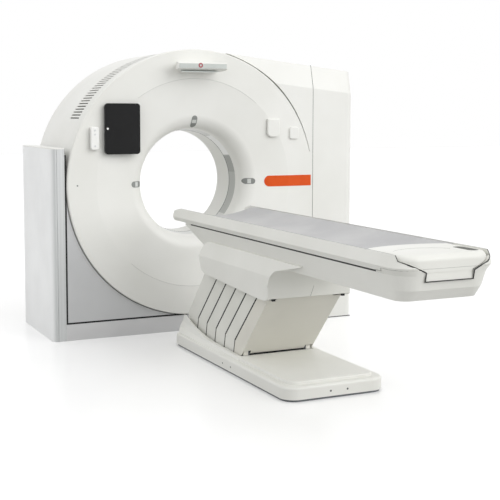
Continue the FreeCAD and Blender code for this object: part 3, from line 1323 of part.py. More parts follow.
def make_accessory_rails():
    """Black strips between the tub and the side rails."""
    body = new_body("accessory_rails")
    outer = "tub_top_half + strip_proud_side"
    bar = slab(body, "XY", [box_outline(outer + " - strip_width", "-block_start + seat",
                                        outer, "-tub_nose_top - strip_lead")],
               "tub_top", "tub_top + strip_height")
    other_side(body, [bar])


def make_side_rails():
    """White rails with a bevelled outer face; their foot ends turn inwards as toes."""
    body = new_body("side_rails")
    levels = [("rail_low_half", "toe_lean_low", "rail_low"), ("rail_belly_half", "0", "rail_belly"),
              ("rail_top_half", "toe_lean_top", "rail_top")]
    plans = []
    for half, lean, height in levels:
        foot, radius = "(rail_toe - " + lean + ")", "(toe_round - " + lean + ")"
        plans.append(new_sketch(body, "XY", [tub_plan(half, foot, "rail_tip", radius)], height))
    lofted(body, plans[:2])
    lofted(body, plans[1:])
    slab(body, "XZ", [box_outline("-rail_gap_half", "rail_low - 1", "rail_gap_half", "rail_top + 1")],
         "-rail_toe + toe_depth", "-rail_tip + 1", cut=True)
    slab(body, "XZ", [notch_outline("rail_low - 1")], "-rail_toe - 1", "-rail_toe + toe_depth + 1",
         cut=True)
    outside = "rail_belly_half + 1"
    slab(body, "XY", [box_outline("-(" + outside + ")", "-rail_toe - 1", outside,
                                  "-block_start + seat")],
         "rail_low - 1", "block_top + seat", cut=True)
    slab(body, "YZ", [[
        ("-rail_tip - tip_length", "rail_top + 1"), ("-rail_tip - tip_length", "rail_top"),
        ("-rail_tip + 1", "rail_top - tip_drop"), ("-rail_tip + 1", "rail_top + 1")]],
         "-(" + outside + ")", outside, cut=True)


def make_guide_strips():
    body = new_body("guide_strips")
    inner = "channel_half + guide_inset"
    strip = slab(body, "XY", [box_outline(inner, "-rail_toe + toe_depth + guide_toe",
                                          inner + " + guide_width", "-tub_nose_top - guide_end")],
                 "tub_top", "top_under - seat")
    other_side(body, [strip])


# --- Table: sliding top ------------------------------------------------------------------------

def make_tabletop():
    """Hollowed board; the end cap's bowed edge cuts into its foot end."""
    body = new_body("tabletop")
    slab(body, "XZ", [[
        ("-top_half", "top_rim - top_edge"), ("-top_under_half", "top_under"),
        ("top_under_half", "top_under"), ("top_half", "top_rim - top_edge"), ("top_half", "top_rim"),
        ("-top_half", "top_rim", "top_radius", -1)]],
         "-top_end", "-top_head")
    slab(body, "XY", [[
        ("-top_half - 1", "-top_end - 1"), ("top_half + 1", "-top_end - 1"),
        ("top_half", "-top_end"), ("-top_half", "-top_end", "bow_radius", 1)]],
         "top_under - 1", "top_rim + 1", cut=True)
    corner = corner_cut(body, "top_half", "-top_head", "head_round", 1, "top_under - 1", "top_rim + 1")
    other_side(body, [corner])


def make_end_cap():
    """Moulded foot end of the tabletop, with its tongue and hand grip."""
    body = new_body("tabletop_end_cap")
    edge_place = "-top_end - seat"
    slab(body, "XY", [[
        ("cap_half", edge_place), ("top_half", edge_place),
        ("-top_half", edge_place, "bow_radius", 1),
        ("-cap_half", edge_place), ("-cap_half", "-cap_end + cap_round"),
        ("-cap_half + cap_round", "-cap_end", "cap_round", 1),
        ("cap_half - cap_round", "-cap_end"),
        ("cap_half", "-cap_end + cap_round", "cap_round", 1)]],
         "top_under", "cap_top")
    rounded(body, "cap_edge", lambda edge: near(edge.BoundBox.ZMin, "cap_top")
            and edge.BoundBox.YMin < number("-cap_end + tongue_depth"))
    corner = slab(body, "XZ", [[
        ("cap_half + 1", "top_under - 1"), ("cap_half + 1", "rail_top - toe_slope + cap_clear"),
        ("cap_half", "rail_top - toe_slope + cap_clear"),
        ("tongue_half", "top_under + notch_rise + cap_clear"), ("tongue_half", "top_under - 1")]],
                  "-cap_end - 1", "-rail_toe + toe_depth + cap_clear", cut=True)
    other_side(body, [corner])
    slab(body, "XZ", [box_outline("-tongue_half", "tongue_low", "tongue_half", "top_under + 1")],
         "-cap_end + cap_sink", "-cap_end + tongue_depth")
    slab(body, "XY", [round_outline("grip_inner", "-cap_end + grip_end", "grip_outer",
                                    "-cap_end + grip_end + grip_length", "grip_depth")],
         "cap_top - grip_depth", "cap_top + 1", cut=True)


def make_carriage():
    body = new_body("tabletop_carriage")
    slab(body, "XZ", [box_outline("-carriage_half", "channel_floor + carriage_clear", "carriage_half",
                                  "top_under")],
         "-carriage_front - carriage_length", "-carriage_front")


# --- Build, check and write --------------------------------------------------------------------

make_front_cover()
make_drum_shell()
make_rear_cover()
make_bore_liner()
make_light_ring()
make_laser_windows()
make_plinth()
make_shadow_strip()
make_column()
make_column_cap()
make_corner_panel()
make_rear_panel()
make_tower_upper()
make_tower_side()
make_display_hood()
make_display_strip()
make_tablet()
make_remote()
make_holders()
make_label_plate()
make_stationary_frame()
make_frame_leg()
make_bearing()
make_rotor()
make_drive()
make_base()
make_pivot_rails("lower_pivot_rails", "base_plate", "lift_low + rail_edge", "lift_low", "0",
                 "running_gap", "running_gap")
make_pivot_rails("upper_pivot_rails", "lift_high - rail_edge", "tub_low", "lift_high", "arm_shift",
                 "running_gap", "open_gap")
make_lift_motor()
make_arm("lift_front_arm", "front_pivot", "flange_inner")
make_foot_plate()
make_slats()
make_arm("lift_rear_arm", "rear_pivot", "rear_inner")
make_rear_plate()
make_housing()
make_tub()
make_accessory_rails()
make_side_rails()
make_guide_strips()
make_tabletop()
make_end_cap()
make_carriage()

doc.recompute()
failed = [item.Label for item in doc.Objects if "Invalid" in item.State or "Error" in item.State]
pieces = [item for item in doc.Objects if item.TypeId in ("PartDesign::Body", "Part::Feature")
          and item.getParentGeoFeatureGroup() is None]
for piece in pieces:
    if piece.Shape.isNull() or not piece.Shape.isValid() or not piece.Shape.Solids:
        failed.append(piece.Label)
if failed:
    raise RuntimeError("these did not build: " + ", ".join(sorted(set(failed))))

os.makedirs("parts", exist_ok=True)
for piece in pieces:
    piece.Shape.exportStep("parts/%s.step" % piece.Label)
print("%d pieces" % len(pieces))
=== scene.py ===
# %% [markdown]
# # A computed-tomography scanner, dressed for its photograph
#
# The model that this lesson starts from is already complete as a machine: every cover, rail,
# hinge and button is a solid of its own, in metres, with +Z up and the origin on the floor below
# the middle of the bore. Here it gets its finishes, the thin trim that is too fine for the
# solids, a studio and a camera.

# %% Load the fixed model and put its placement into its meshes
from math import cos, degrees, pi, radians, sin

import bpy
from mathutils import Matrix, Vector


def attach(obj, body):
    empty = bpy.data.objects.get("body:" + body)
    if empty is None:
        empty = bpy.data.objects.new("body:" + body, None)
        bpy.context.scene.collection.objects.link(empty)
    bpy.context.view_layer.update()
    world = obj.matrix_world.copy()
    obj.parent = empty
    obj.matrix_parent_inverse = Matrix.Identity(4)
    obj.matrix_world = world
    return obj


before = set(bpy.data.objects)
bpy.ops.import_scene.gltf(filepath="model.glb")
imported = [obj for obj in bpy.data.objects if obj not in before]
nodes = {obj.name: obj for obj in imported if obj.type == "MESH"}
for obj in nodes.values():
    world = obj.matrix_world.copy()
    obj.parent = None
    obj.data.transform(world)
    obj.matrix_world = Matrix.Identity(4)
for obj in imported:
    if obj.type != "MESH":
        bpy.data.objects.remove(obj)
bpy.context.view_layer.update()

GROUND = "gantry_and_base"
BORE_HEIGHT = 0.998

# %% [markdown]
# ## The camera
#
# The picture was taken from the table's left, at about the height of a person's chest, with a
# longish lens. A lens shift keeps the upright edges nearly parallel while the machine sits low
# in the frame, as it does in a catalogue picture.

# %% Camera at the photograph's angle
IMAGE_SIDE = 500
FOCAL_PIXELS = 1044.1
CENTRE_PIXEL = (230.87, 205.49)
TURN, TILT = 0.4324, 0.0871
FILM_WIDTH, CAMERA_PLACE = 36, (-2.715, -6.770, 1.456)

lens = bpy.data.cameras.new("studio_camera")
lens.sensor_width = FILM_WIDTH
lens.lens = FILM_WIDTH * FOCAL_PIXELS / IMAGE_SIDE
lens.shift_x = 0.5 - CENTRE_PIXEL[0] / IMAGE_SIDE
lens.shift_y = CENTRE_PIXEL[1] / IMAGE_SIDE - 0.5
camera = bpy.data.objects.new("studio_camera", lens)
bpy.context.collection.objects.link(camera)
camera.location = CAMERA_PLACE
camera.rotation_euler = (pi / 2 - TILT, 0, -TURN)
bpy.context.scene.camera = camera
print("lens %.1f mm" % lens.lens)

# %% [markdown]
# ## Colours and nodes
#
# A colour picked from a picture is written as a hex code in sRGB, but the renderer works with
# linear light, so one function turns the one into the other. A second small function adds a node
# with its settings and links, which keeps each finish down to the few lines that make it
# different.

# %% A colour from its code, and one node
def tone(code, alpha=1.0):
    """Linear colour of an sRGB hex code."""
    levels = [int(code[i:i + 2], 16) / 255 for i in (0, 2, 4)]
    linear = [v / 12.92 if v <= 0.04045 else ((v + 0.055) / 1.055) ** 2.4 for v in levels]
    return (*linear, alpha)


def add(tree, kind, links=None, **settings):
    """Adds one node; links map a socket's name to its value or to the socket that feeds it."""
    node = tree.nodes.new("ShaderNode" + kind)
    for name, value in settings.items():
        setattr(node, name, value)
    for name, value in (links or {}).items():
        if isinstance(value, bpy.types.NodeSocket):
            tree.links.new(value, node.inputs[name])
        else:
            node.inputs[name].default_value = value
    return node


print("mid grey 808080 is %.3f in linear light" % tone("808080")[0])

# %% [markdown]
# Every finish here starts from one shader, gets a slight drift of its tone and then a fine
# relief. Three helpers do these steps. They work on Object coordinates, which for every piece
# are metres in the model, so a pattern's size can be given in millimetres.

# %% Shader, drift of tone and relief
LOW, HIGH = 0.35, 0.65    # nearly all of a noise texture lies between these two levels


def per(millimetres):
    """Texture scale at which one feature measures this many millimetres."""
    return 1000 / millimetres


def new_finish(name, **values):
    """A material with one shader; values are sockets of that shader."""
    material = bpy.data.materials.new(name)
    material.use_nodes = True
    shader = material.node_tree.nodes["Principled BSDF"]
    for socket, value in values.items():
        shader.inputs[socket.replace("_", " ")].default_value = value
    return material, material.node_tree, shader


def mottle(tree, shader, light, dark, size):
    """Soft drift between two close tones over a real size; gives the place and the colour."""
    place = add(tree, "TexCoord").outputs["Object"]
    cloud = add(tree, "TexNoise", {"Vector": place, "Scale": per(size), "Detail": 3.0})
    ramp = add(tree, "MapRange", {"Value": cloud.outputs["Fac"], "From Min": LOW,
                                  "From Max": HIGH})
    mix = add(tree, "MixRGB", {"Fac": ramp.outputs["Result"], "Color1": light, "Color2": dark})
    tree.links.new(mix.outputs["Color"], shader.inputs["Base Color"])
    return place, mix.outputs["Color"]


def grain(tree, shader, place, size, depth_mm, detail=2.0):
    """Fine relief with bumps of a real size and depth."""
    fine = add(tree, "TexNoise", {"Vector": place, "Scale": per(size), "Detail": detail})
    bump = add(tree, "Bump", {"Height": fine.outputs["Fac"], "Strength": 1.0,
                              "Distance": depth_mm / 1000})
    tree.links.new(bump.outputs["Normal"], shader.inputs["Normal"])


print("helpers ready; 5 mm grain has scale", per(5))

# %% [markdown]
# ## The finishes
#
# Nearly everything that a patient sees is a moulded or vacuum-formed cover sprayed with a
# two-part paint: off-white, half gloss, with the faint orange peel that a spray gun leaves. A
# plain colour would look like plaster, so the tone drifts a little over half a metre and the
# gloss drifts with it. Real orange peel is 1 to 2 mm across; it is drawn at 6 mm here, because
# anything finer is lost in the picture. The table's covers, the steel of the lift and the grey
# panels are sprayed in tones of their own, the steel a little coarser and the powder-coated
# panels duller.

# %% Sprayed cover paint
def sprayed_cover(name, light, dark, roughness=0.38, peel=6.0):
    """Paint whose tone drifts over 520 mm and whose gloss drifts over 180 mm."""
    material, tree, shader = new_finish(name, Roughness=roughness, IOR=1.5)
    place = mottle(tree, shader, tone(light), tone(dark), 520)[0]
    grain(tree, shader, place, peel, 0.035)
    sheen = add(tree, "TexNoise", {"Vector": place, "Scale": per(180), "Detail": 2.0})
    gloss = add(tree, "MapRange", {"Value": sheen.outputs["Fac"], "To Min": roughness - 0.05,
                                   "To Max": roughness + 0.07})
    tree.links.new(gloss.outputs["Result"], shader.inputs["Roughness"])
    return material


cover_paint = sprayed_cover("sprayed_moulded_cover", "ECECE8", "E6E6E1")
table_paint = sprayed_cover("sprayed_table_cover", "E9E9E4", "E2E2DC", 0.40)
plate_paint = sprayed_cover("sprayed_sheet_steel", "E1DFD6", "D9D7CE", 0.45, 8.0)
slat_paint = sprayed_cover("sprayed_slat_steel", "E6E6E0", "DEDED7", 0.42, 8.0)
panel_paint = sprayed_cover("powder_coated_panel", "CDCECF", "C3C4C5", 0.5, 4.0)
plinth_paint = sprayed_cover("powder_coated_plinth", "DADADB", "D0D0D1", 0.5, 4.0)
print("cover paints:", cover_paint.name, table_paint.name, plate_paint.name)

# %% [markdown]
# The tall column at the left is sheet aluminium, finely brushed upwards and lacquered. Its broad
# side is a pale silver. Round the corner, on the narrow front, the brushing shows as upright
# bands and the tone is darker. The darker tone is painted shade, and the bands are partly painted
# reflection streaks, because side and front are one metal lit differently. The brush marks are a
# millimetre wide and metres long; they are drawn 6 mm wide. The corner is found by the place
# across the machine, on the piece's own coordinates.

# %% Lacquered brushed aluminium
silver_lacquer, tree, shader = new_finish("lacquered_brushed_aluminium", Roughness=0.42,
                                          Metallic=0.45)
CORNER_START, CORNER_END = -0.984, -0.968
place, pale = mottle(tree, shader, tone("ECEDED"), tone("E5E6E6"), 300)
brushed = add(tree, "Mapping", {"Vector": place, "Scale": (1, 0, 0.001)})
streaks = add(tree, "TexNoise", {"Vector": brushed.outputs["Vector"], "Scale": per(6),
                                 "Detail": 1.0})
bands = add(tree, "MapRange", {"Value": streaks.outputs["Fac"], "From Min": LOW,
                               "From Max": HIGH})
# The narrow front's darker tone is painted shade, and its upright bands are partly painted
# reflection streaks.
front = add(tree, "MixRGB", {"Fac": bands.outputs["Result"], "Color1": tone("CBCDCD"),
                             "Color2": tone("BFC1C1")})
across = add(tree, "SeparateXYZ", {"Vector": place}).outputs["X"]
turned = add(tree, "MapRange", {"Value": across, "From Min": CORNER_START,
                                "From Max": CORNER_END})
sheet = add(tree, "MixRGB", {"Fac": turned.outputs["Result"], "Color1": pale,
                             "Color2": front.outputs["Color"]})
tree.links.new(sheet.outputs["Color"], shader.inputs["Base Color"])
print(silver_lacquer.name)

# %% [markdown]
# The sliding top is a carbon-fibre sandwich under a grey film. The film is smooth but not
# glossy, and the laminate under it isn't perfectly flat: two crossed waves, 50 mm long and less
# than a tenth of a millimetre high, draw that. A wave texture runs through 20 radians per unit,
# hence its scale.

# %% Film over carbon fibre
board_film, tree, shader = new_finish("film_over_carbon_laminate", Roughness=0.6, IOR=1.38)
place = mottle(tree, shader, tone("C3C3C3"), tone("B9B9BA"), 260)[0]
waves = []
for axis in ("X", "Y"):
    wave = add(tree, "TexWave", {"Vector": place, "Scale": per(50.27) * 2 * pi / 20,
                                 "Distortion": 0.4}, bands_direction=axis)
    waves.append(wave.outputs["Fac"])
crossed = add(tree, "Math", {0: waves[0], 1: waves[1]}, operation="MULTIPLY")
relief = add(tree, "Bump", {"Height": crossed.outputs["Value"], "Strength": 0.6,
                            "Distance": 0.00005})
tree.links.new(relief.outputs["Normal"], shader.inputs["Normal"])
print(board_film.name)

# %% [markdown]
# Rubber, moulded plastic and enamel are all one even tone with a fine grit, so one function
# makes them. The seals are dull black rubber; the accessory rails are black-anodised aluminium,
# which has a satin metal sheen; the tablet's case is ABS and the keys are polycarbonate, both
# half dull from their moulds. The frames inside are enamelled steel. Real grit is finer than a
# millimetre and is drawn 2 to 5 mm wide. Later cells use the function again for seams and small
# trim.

# %% Rubber, anodised rail, plastic and enamel
def even_finish(name, light, dark, roughness, grit, metallic=0.0):
    """One tone with a grit of a real size in millimetres, 0.03 mm deep."""
    material, tree, shader = new_finish(name, Roughness=roughness, Metallic=metallic)
    place = mottle(tree, shader, tone(light), tone(dark), 40)[0]
    grain(tree, shader, place, grit, 0.03)
    return material


# The same dull black also serves as painted shade: strips that stand for the shadow in narrow
# gaps along the leaves, round the slot, at the tower's foot and at the plate's lower edge.
rubber_and_shade_black = even_finish("black_rubber_and_painted_shade", "1B1B1C", "111112", 0.75, 3)
rail_anodised = even_finish("black_anodised_rail", "1C1D1F", "141517", 0.42, 2, 0.6)
case_plastic = even_finish("black_moulded_case", "0D0D0E", "09090A", 0.5, 2)
key_plastic = even_finish("grey_moulded_key", "DEE0E0", "D6D8D8", 0.5, 2)
machine_paint = even_finish("machine_grey_enamel", "6E7276", "62666A", 0.5, 5)
motor_enamel = even_finish("dark_motor_enamel", "3B3E42", "303337", 0.45, 5)
print(rubber_and_shade_black.name, rail_anodised.name, case_plastic.name, motor_enamel.name)

# %% [markdown]
# Bare metal inside the machine is ground steel, smooth and bright, or sand-cast aluminium, whose
# skin is rougher and scatters the light. The slip ring is moulded in a dark blue insulating
# resin.

# %% Steel, cast aluminium and insulator
ground_steel, tree, shader = new_finish("ground_steel", Roughness=0.3, Metallic=1.0)
place = mottle(tree, shader, tone("B9BABB"), tone("A6A8AA"), 60)[0]
grain(tree, shader, place, 2, 0.01)
cast_metal, tree, shader = new_finish("sand_cast_aluminium", Roughness=0.5, Metallic=1.0)
place = mottle(tree, shader, tone("C6C8CA"), tone("B2B5B8"), 25)[0]
grain(tree, shader, place, 3, 0.15, 5.0)
ring_resin = even_finish("moulded_slip_ring_resin", "2C3B4E", "233043", 0.4, 4)
print(ground_steel.name, cast_metal.name, ring_resin.name)

# %% [markdown]
# The tablet's screen is black glass, the hood's strip a pale one; both mirror the room. The
# label is a bare orange vinyl film with a very slight texture, and the handset is clean white
# ABS, half gloss.

# %% Glass and film
screen_glass, tree, shader = new_finish("black_display_glass", Roughness=0.22, IOR=1.3)
mottle(tree, shader, tone("0C0C0D"), tone("080809"), 120)
strip_glass, tree, shader = new_finish("pale_display_strip", Roughness=0.14, IOR=1.5)
mottle(tree, shader, tone("CBD0CC"), tone("C2C7C3"), 120)
signal_film, tree, shader = new_finish("orange_cast_film", Roughness=0.5, IOR=1.3)
place = mottle(tree, shader, tone("DD5518"), tone("D54E12"), 90)[0]
grain(tree, shader, place, 5, 0.02)
signal_red = even_finish("red_signal_print", "A8404A", "9C3A44", 0.5, 3)
handset_plastic = even_finish("white_handset_plastic", "F4F4F2", "EFEFEC", 0.35, 3)
print(screen_glass.name, strip_glass.name, signal_film.name)

# %% [markdown]
# The ring between the funnel and the liner is a milky acrylic diffuser. Round the bore its tone
# changes by stretches: it is nearly white from 30.5 to 61 degrees, a darker grey from 9.5 to 29.5
# degrees, and a little greyer than the rest from -40 to 9.5 degrees. All follow the angle round
# the bore, so the material works out that angle from the place on the ring.

# %% Light ring
ring_glass, tree, shader = new_finish("milky_diffuser", Roughness=0.3, IOR=1.49)
split = add(tree, "SeparateXYZ", {"Vector": add(tree, "TexCoord").outputs["Object"]})
rise = add(tree, "Math", {0: split.outputs["Z"], 1: BORE_HEIGHT}, operation="SUBTRACT")
angle = add(tree, "Math", {0: rise.outputs["Value"], 1: split.outputs["X"]}, operation="ARCTAN2")


def band(start, end):
    """1 between two angles in degrees, measured from +X."""
    above = add(tree, "Math", {0: angle.outputs["Value"], 1: radians(start)},
                operation="GREATER_THAN")
    below = add(tree, "Math", {0: angle.outputs["Value"], 1: radians(end)}, operation="LESS_THAN")
    both = add(tree, "Math", {0: above.outputs["Value"], 1: below.outputs["Value"]},
               operation="MULTIPLY")
    return both.outputs["Value"]


RING_PARTS = [(-40, 9.5, "B4B6B2"), (9.5, 29.5, "9FA19D"), (30.5, 61, "FAFBFA")]
colour = tone("D6D7D4")
for start, end, code in RING_PARTS:
    colour = add(tree, "MixRGB", {"Fac": band(start, end), "Color1": colour,
                                  "Color2": tone(code)}).outputs["Color"]
tree.links.new(colour, shader.inputs["Base Color"])
print(ring_glass.name, "with", len(RING_PARTS), "marked stretches")

# %% [markdown]
# A laser window is a slot of dark smoked plastic with a paler lens across its middle, where the
# beam comes out. Both are one solid, so the material measures along the slot, which lies on a
# circle round the bore: within 10 mm of its middle it is lens, except for a rim along its edge.

# %% Laser windows
WINDOW_RADIUS, LENS_HALF, LENS_REACH, RIM_STEP = 0.4105, 0.010, 0.014, 0.002
window_glass, tree, shader = new_finish("smoked_laser_window", Roughness=0.25, IOR=1.45)
split = add(tree, "SeparateXYZ", {"Vector": add(tree, "TexCoord").outputs["Object"]})
rise = add(tree, "Math", {0: split.outputs["Z"], 1: BORE_HEIGHT}, operation="SUBTRACT")
reaches = [add(tree, "Math", {0: value}, operation="ABSOLUTE").outputs["Value"]
           for value in (split.outputs["X"], rise.outputs["Value"])]
along = add(tree, "Math", {0: reaches[0], 1: reaches[1]}, operation="MAXIMUM")
beside = add(tree, "Math", {0: reaches[0], 1: reaches[1]}, operation="MINIMUM")
from_middle = add(tree, "Math", {0: along.outputs["Value"], 1: WINDOW_RADIUS},
                  operation="SUBTRACT")
from_middle = add(tree, "Math", {0: from_middle.outputs["Value"]}, operation="ABSOLUTE")
smoked = add(tree, "MapRange", {"Value": from_middle.outputs["Value"], "From Min": LENS_HALF,
                                "From Max": LENS_HALF + RIM_STEP})
edge = add(tree, "MapRange", {"Value": beside.outputs["Value"], "From Min": LENS_REACH,
                              "From Max": LENS_REACH + RIM_STEP})
dark = add(tree, "Math", {0: smoked.outputs["Result"], 1: edge.outputs["Result"]},
           operation="MAXIMUM")
mix = add(tree, "MixRGB", {"Fac": dark.outputs["Value"], "Color1": tone("D2D4D1"),
                           "Color2": tone("888B88")})
tree.links.new(mix.outputs["Color"], shader.inputs["Base Color"])
print(window_glass.name)

# %% [markdown]
# ## Dressing the solids
#
# Each solid keeps its mesh. It only swaps its material, so this is a plain list from finish to
# pieces.

# %% Finishes for the solids
DRESS = {
    cover_paint: ["front_cover", "drum_shell", "rear_cover", "rear_panel", "tower_upper_cover",
                  "tower_side_cover", "display_hood", "column_cap", "bore_liner", "face_holders"],
    handset_plastic: ["remote_handset"],
    strip_glass: ["display_strip"],
    table_paint: ["table_base_cover", "lift_housing", "table_tub", "side_rails",
                  "tabletop_end_cap"],
    plate_paint: ["lift_foot_plate"],
    slat_paint: ["side_slat_1", "side_slat_2", "side_slat_3", "side_slat_4", "lift_rear_plate"],
    panel_paint: ["corner_panel", "remote_cradle"],
    plinth_paint: ["plinth"],
    silver_lacquer: ["left_column"],
    rubber_and_shade_black: ["shadow_strip", "drive_belt"],
    rail_anodised: ["accessory_rails"],
    case_plastic: ["tablet_case"],
    key_plastic: ["button_raise", "button_lower", "button_release"],
    screen_glass: ["tablet_screen"],
    window_glass: ["laser_windows"],
    ring_glass: ["light_ring"],
    signal_film: ["label_plate"],
    board_film: ["tabletop"],
    machine_paint: ["stationary_frame", "frame_leg", "lower_pivot_rails", "upper_pivot_rails",
                    "lift_front_arm", "lift_rear_arm", "table_base_plate", "tablet_bracket"],
    motor_enamel: ["drive_motor", "lift_gearmotor", "power_units"],
    ground_steel: ["bearing_outer_ring", "bearing_inner_ring", "collimator", "guide_strips"],
    cast_metal: ["rotor_plate", "x_ray_tube", "detector_arc", "drive_pulley",
                 "tabletop_carriage"],
    ring_resin: ["slip_ring"],
}
for material, names in DRESS.items():
    for name in names:
        nodes[name].data.materials.clear()
        nodes[name].data.materials.append(material)
undressed = set(nodes) - {name for names in DRESS.values() for name in names}
print("solids without a finish:", sorted(undressed) or "none")

# %% [markdown]
# ## Trim that is too fine for the solids
#
# Seals, plugs, seams and dark strips that paint the shade in narrow gaps are what make a moulded
# machine look assembled. Each is modelled by hand: a primitive is placed, shaped in edit mode,
# thickened or bevelled by a modifier, and hung on the body that carries it. Three helpers hold
# the steps that every piece shares. All places are in metres. Most edges get a small bevel,
# because a perfectly sharp edge never catches the light.

# %% Helpers for new pieces
def lay_aside():
    """Ends any edit and leaves nothing selected."""
    if bpy.context.object and bpy.context.object.mode != "OBJECT":
        bpy.ops.object.mode_set(mode="OBJECT")
    bpy.ops.object.select_all(action="DESELECT")


def modify(kind, **settings):
    """Adds one modifier to the active piece and applies it."""
    modifier = bpy.context.object.modifiers.new(kind.lower(), kind)
    for name, value in settings.items():
        setattr(modifier, name, value)
    bpy.ops.object.modifier_apply(modifier=modifier.name)


def keep(name, finish, body, smooth=35):
    """Names the active piece, puts its place into its mesh and hangs it on a body."""
    piece = bpy.context.object
    if piece.mode != "OBJECT":
        bpy.ops.object.mode_set(mode="OBJECT")
    piece.name = piece.data.name = name
    bpy.ops.object.transform_apply(location=True, rotation=True, scale=True)
    bpy.ops.object.shade_smooth_by_angle(angle=radians(smooth))
    piece.data.materials.clear()
    piece.data.materials.append(finish)
    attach(piece, body)
    trim.append(piece)
    return piece


trim = []
print("ready for trim")

# %% [markdown]
# Most trim follows a line. A plane is merged to one point, and that point is extruded from place
# to place, as one would click along an edge. Drawn out sideways and thickened, the line becomes
# a strip; turned into a curve with a round section, it becomes piping.

# %% Strips and piping
EDGE_SHARE = 0.2    # a strip's bevel, as a share of its thinner side


def draw_path(places):
    """A chain of edges through places, left in edit mode."""
    lay_aside()
    bpy.ops.mesh.primitive_plane_add(size=0.01, location=places[0])
    bpy.ops.object.mode_set(mode="EDIT")
    bpy.ops.mesh.select_mode(type="VERT")
    bpy.ops.mesh.select_all(action="SELECT")
    bpy.ops.mesh.merge(type="CENTER")
    for start, end in zip(places, places[1:]):
        move = Vector(end) - Vector(start)
        bpy.ops.mesh.extrude_vertices_move(TRANSFORM_OT_translate={"value": move})


def on_circle(middle, radius, turns):
    """Pairs of coordinates round a circle, at turns in degrees."""
    return [(middle[0] + radius * cos(radians(turn)), middle[1] + radius * sin(radians(turn)))
            for turn in turns]


def strip(name, places, depth, width, finish, body):
    """A band whose middle line runs through places; depth is a vector, width is across it."""
    draw_path(places)
    bpy.ops.mesh.select_all(action="SELECT")
    bpy.ops.mesh.extrude_edges_move(TRANSFORM_OT_translate={"value": depth})
    bpy.ops.object.mode_set(mode="OBJECT")
    modify("SOLIDIFY", thickness=width, offset=0.0, use_even_offset=True)
    modify("BEVEL", width=min(width, Vector(depth).length) * EDGE_SHARE, segments=2)
    return keep(name, finish, body)


def piping(name, places, radius, finish, body):
    """A round cord of rubber or a round-bottomed seam through places."""
    draw_path(places)
    bpy.ops.object.mode_set(mode="OBJECT")
    bpy.ops.object.convert(target="CURVE")
    line = bpy.context.object.data
    line.bevel_depth = radius
    line.bevel_resolution = 2
    line.use_fill_caps = True
    bpy.ops.object.convert(target="MESH")
    return keep(name, finish, body, 60)


print("strips and piping ready")

# %% [markdown]
# Each leaf of the lift ends in a black strip along its rear edge. The strip is painted shade for
# the shadowed gap to the next leaf. It lies in its leaf's own plane, so the leaves still slide
# past one another, and it turns at the knee with the leaf's edge. Places on an arm are given
# across and along it, so one function turns them by the lean of the lift. Each row of the list is
# a body, the distance of its leaf from the middle of the table and the leaf's thickness. From
# leaf to leaf the pivot moves one pitch back and the knee 9 mm up.

# %% Painted shade strips between the leaves of the lift
LEAN, LOW_PIVOT, FRONT_PIVOT, PITCH = radians(42), 0.105, 1.507, 0.147


def on_arm(side, across, along, pivot=FRONT_PIVOT):
    """A place in the model for a place on an arm that stands on a lower pivot."""
    return (side, -pivot + across * cos(LEAN) - along * sin(LEAN),
            LOW_PIVOT + across * sin(LEAN) + along * cos(LEAN))


FIRST_KNEE, KNEE_STEP, GAP_SHADE_WIDTH = -0.002, 0.009, 0.011
LEAVES = [("front_arm", 0.2220, 0.0040), ("slat_1", 0.2190, 0.0024), ("slat_2", 0.2160, 0.0024),
          ("slat_3", 0.2130, 0.0024), ("slat_4", 0.2100, 0.0024)]
for index, (body, inner, thick) in enumerate(LEAVES):
    knee = FIRST_KNEE + KNEE_STEP * index
    for side in (-1, 1):
        start = inner if side > 0 else -inner - thick
        pivot = FRONT_PIVOT - PITCH * index
        rear = [on_arm(start, across + GAP_SHADE_WIDTH / 2, along, pivot)
                for across, along in ((0.053, knee - 0.072), (0.093, knee), (0.073, 0.4915))]
        hand = "right" if side > 0 else "left"
        strip("leaf_gap_shade_%d_%s" % (index, hand), rear, (thick, 0, 0), GAP_SHADE_WIDTH, rubber_and_shade_black, body)
print(len(trim), "leaf_gap_shades")

# %% [markdown]
# The inner edge of each rail is the line against which the sliding top is set, and it shows as a
# fine grey seam along the crest. At the toes the seam turns down and becomes a black line, which
# gets thicker along the slot of the end cap's tongue. This black line is painted shade for the
# shadowed gap round the tongue. All of it stays with the rails when the top moves away.

# %% Seams on the rails and the painted shade round the slot
# This grey is also painted shade on the wall of the grip recess.
seam_and_shade_grey = even_finish("mould_seam_and_painted_shade", "8F908C", "858682", 0.6, 4)
pale_seam = even_finish("pale_mould_seam", "B9BAB6", "B0B1AD", 0.6, 4)
CREST_RADIUS, TOE_RADIUS, SLOT_SHADE_RADIUS = 0.0012, 0.0017, 0.0029
crest = [(0.2434, -0.660, 0.8609), (0.2434, -3.045, 0.8609), (0.2424, -3.076, 0.8600)]
toe = [(0.2421, -3.086, 0.8480), (0.2418, -3.0935, 0.8366), (0.2300, -3.1097, 0.8312),
       (0.2140, -3.1244, 0.8243)]
slot_edge = [(0.2140, -3.1248, 0.8243), (0.1970, -3.1350, 0.8168), (0.1360, -3.1384, 0.7903),
             (0.1257, -3.1384, 0.7850), (0.1257, -3.1305, 0.7450)]
for side, hand in ((-1, "left"), (1, "right")):
    piping("rail_seam_" + hand, [(side * x, y, z) for x, y, z in crest], CREST_RADIUS, seam_and_shade_grey,
           "table_frame")
    piping("toe_gap_shade_" + hand, [(side * x, y, z) for x, y, z in crest[-1:] + toe], TOE_RADIUS,
           rubber_and_shade_black, "table_frame")
piping("slot_gap_shade", [(-x, y, z) for x, y, z in slot_edge] + slot_edge[::-1], SLOT_SHADE_RADIUS,
       rubber_and_shade_black, "table_frame")
print("slot_shade", [round(v, 3) for v in trim[-1].dimensions])

# %% [markdown]
# Moulded parts meet in fine lines: the bend in the end cap's front, the edge of its padded
# field, the seam down the lift's housing and the joint between the rails and the end block,
# which runs round the block's corners. Each is a shallow seam with a round section of about a
# millimetre.

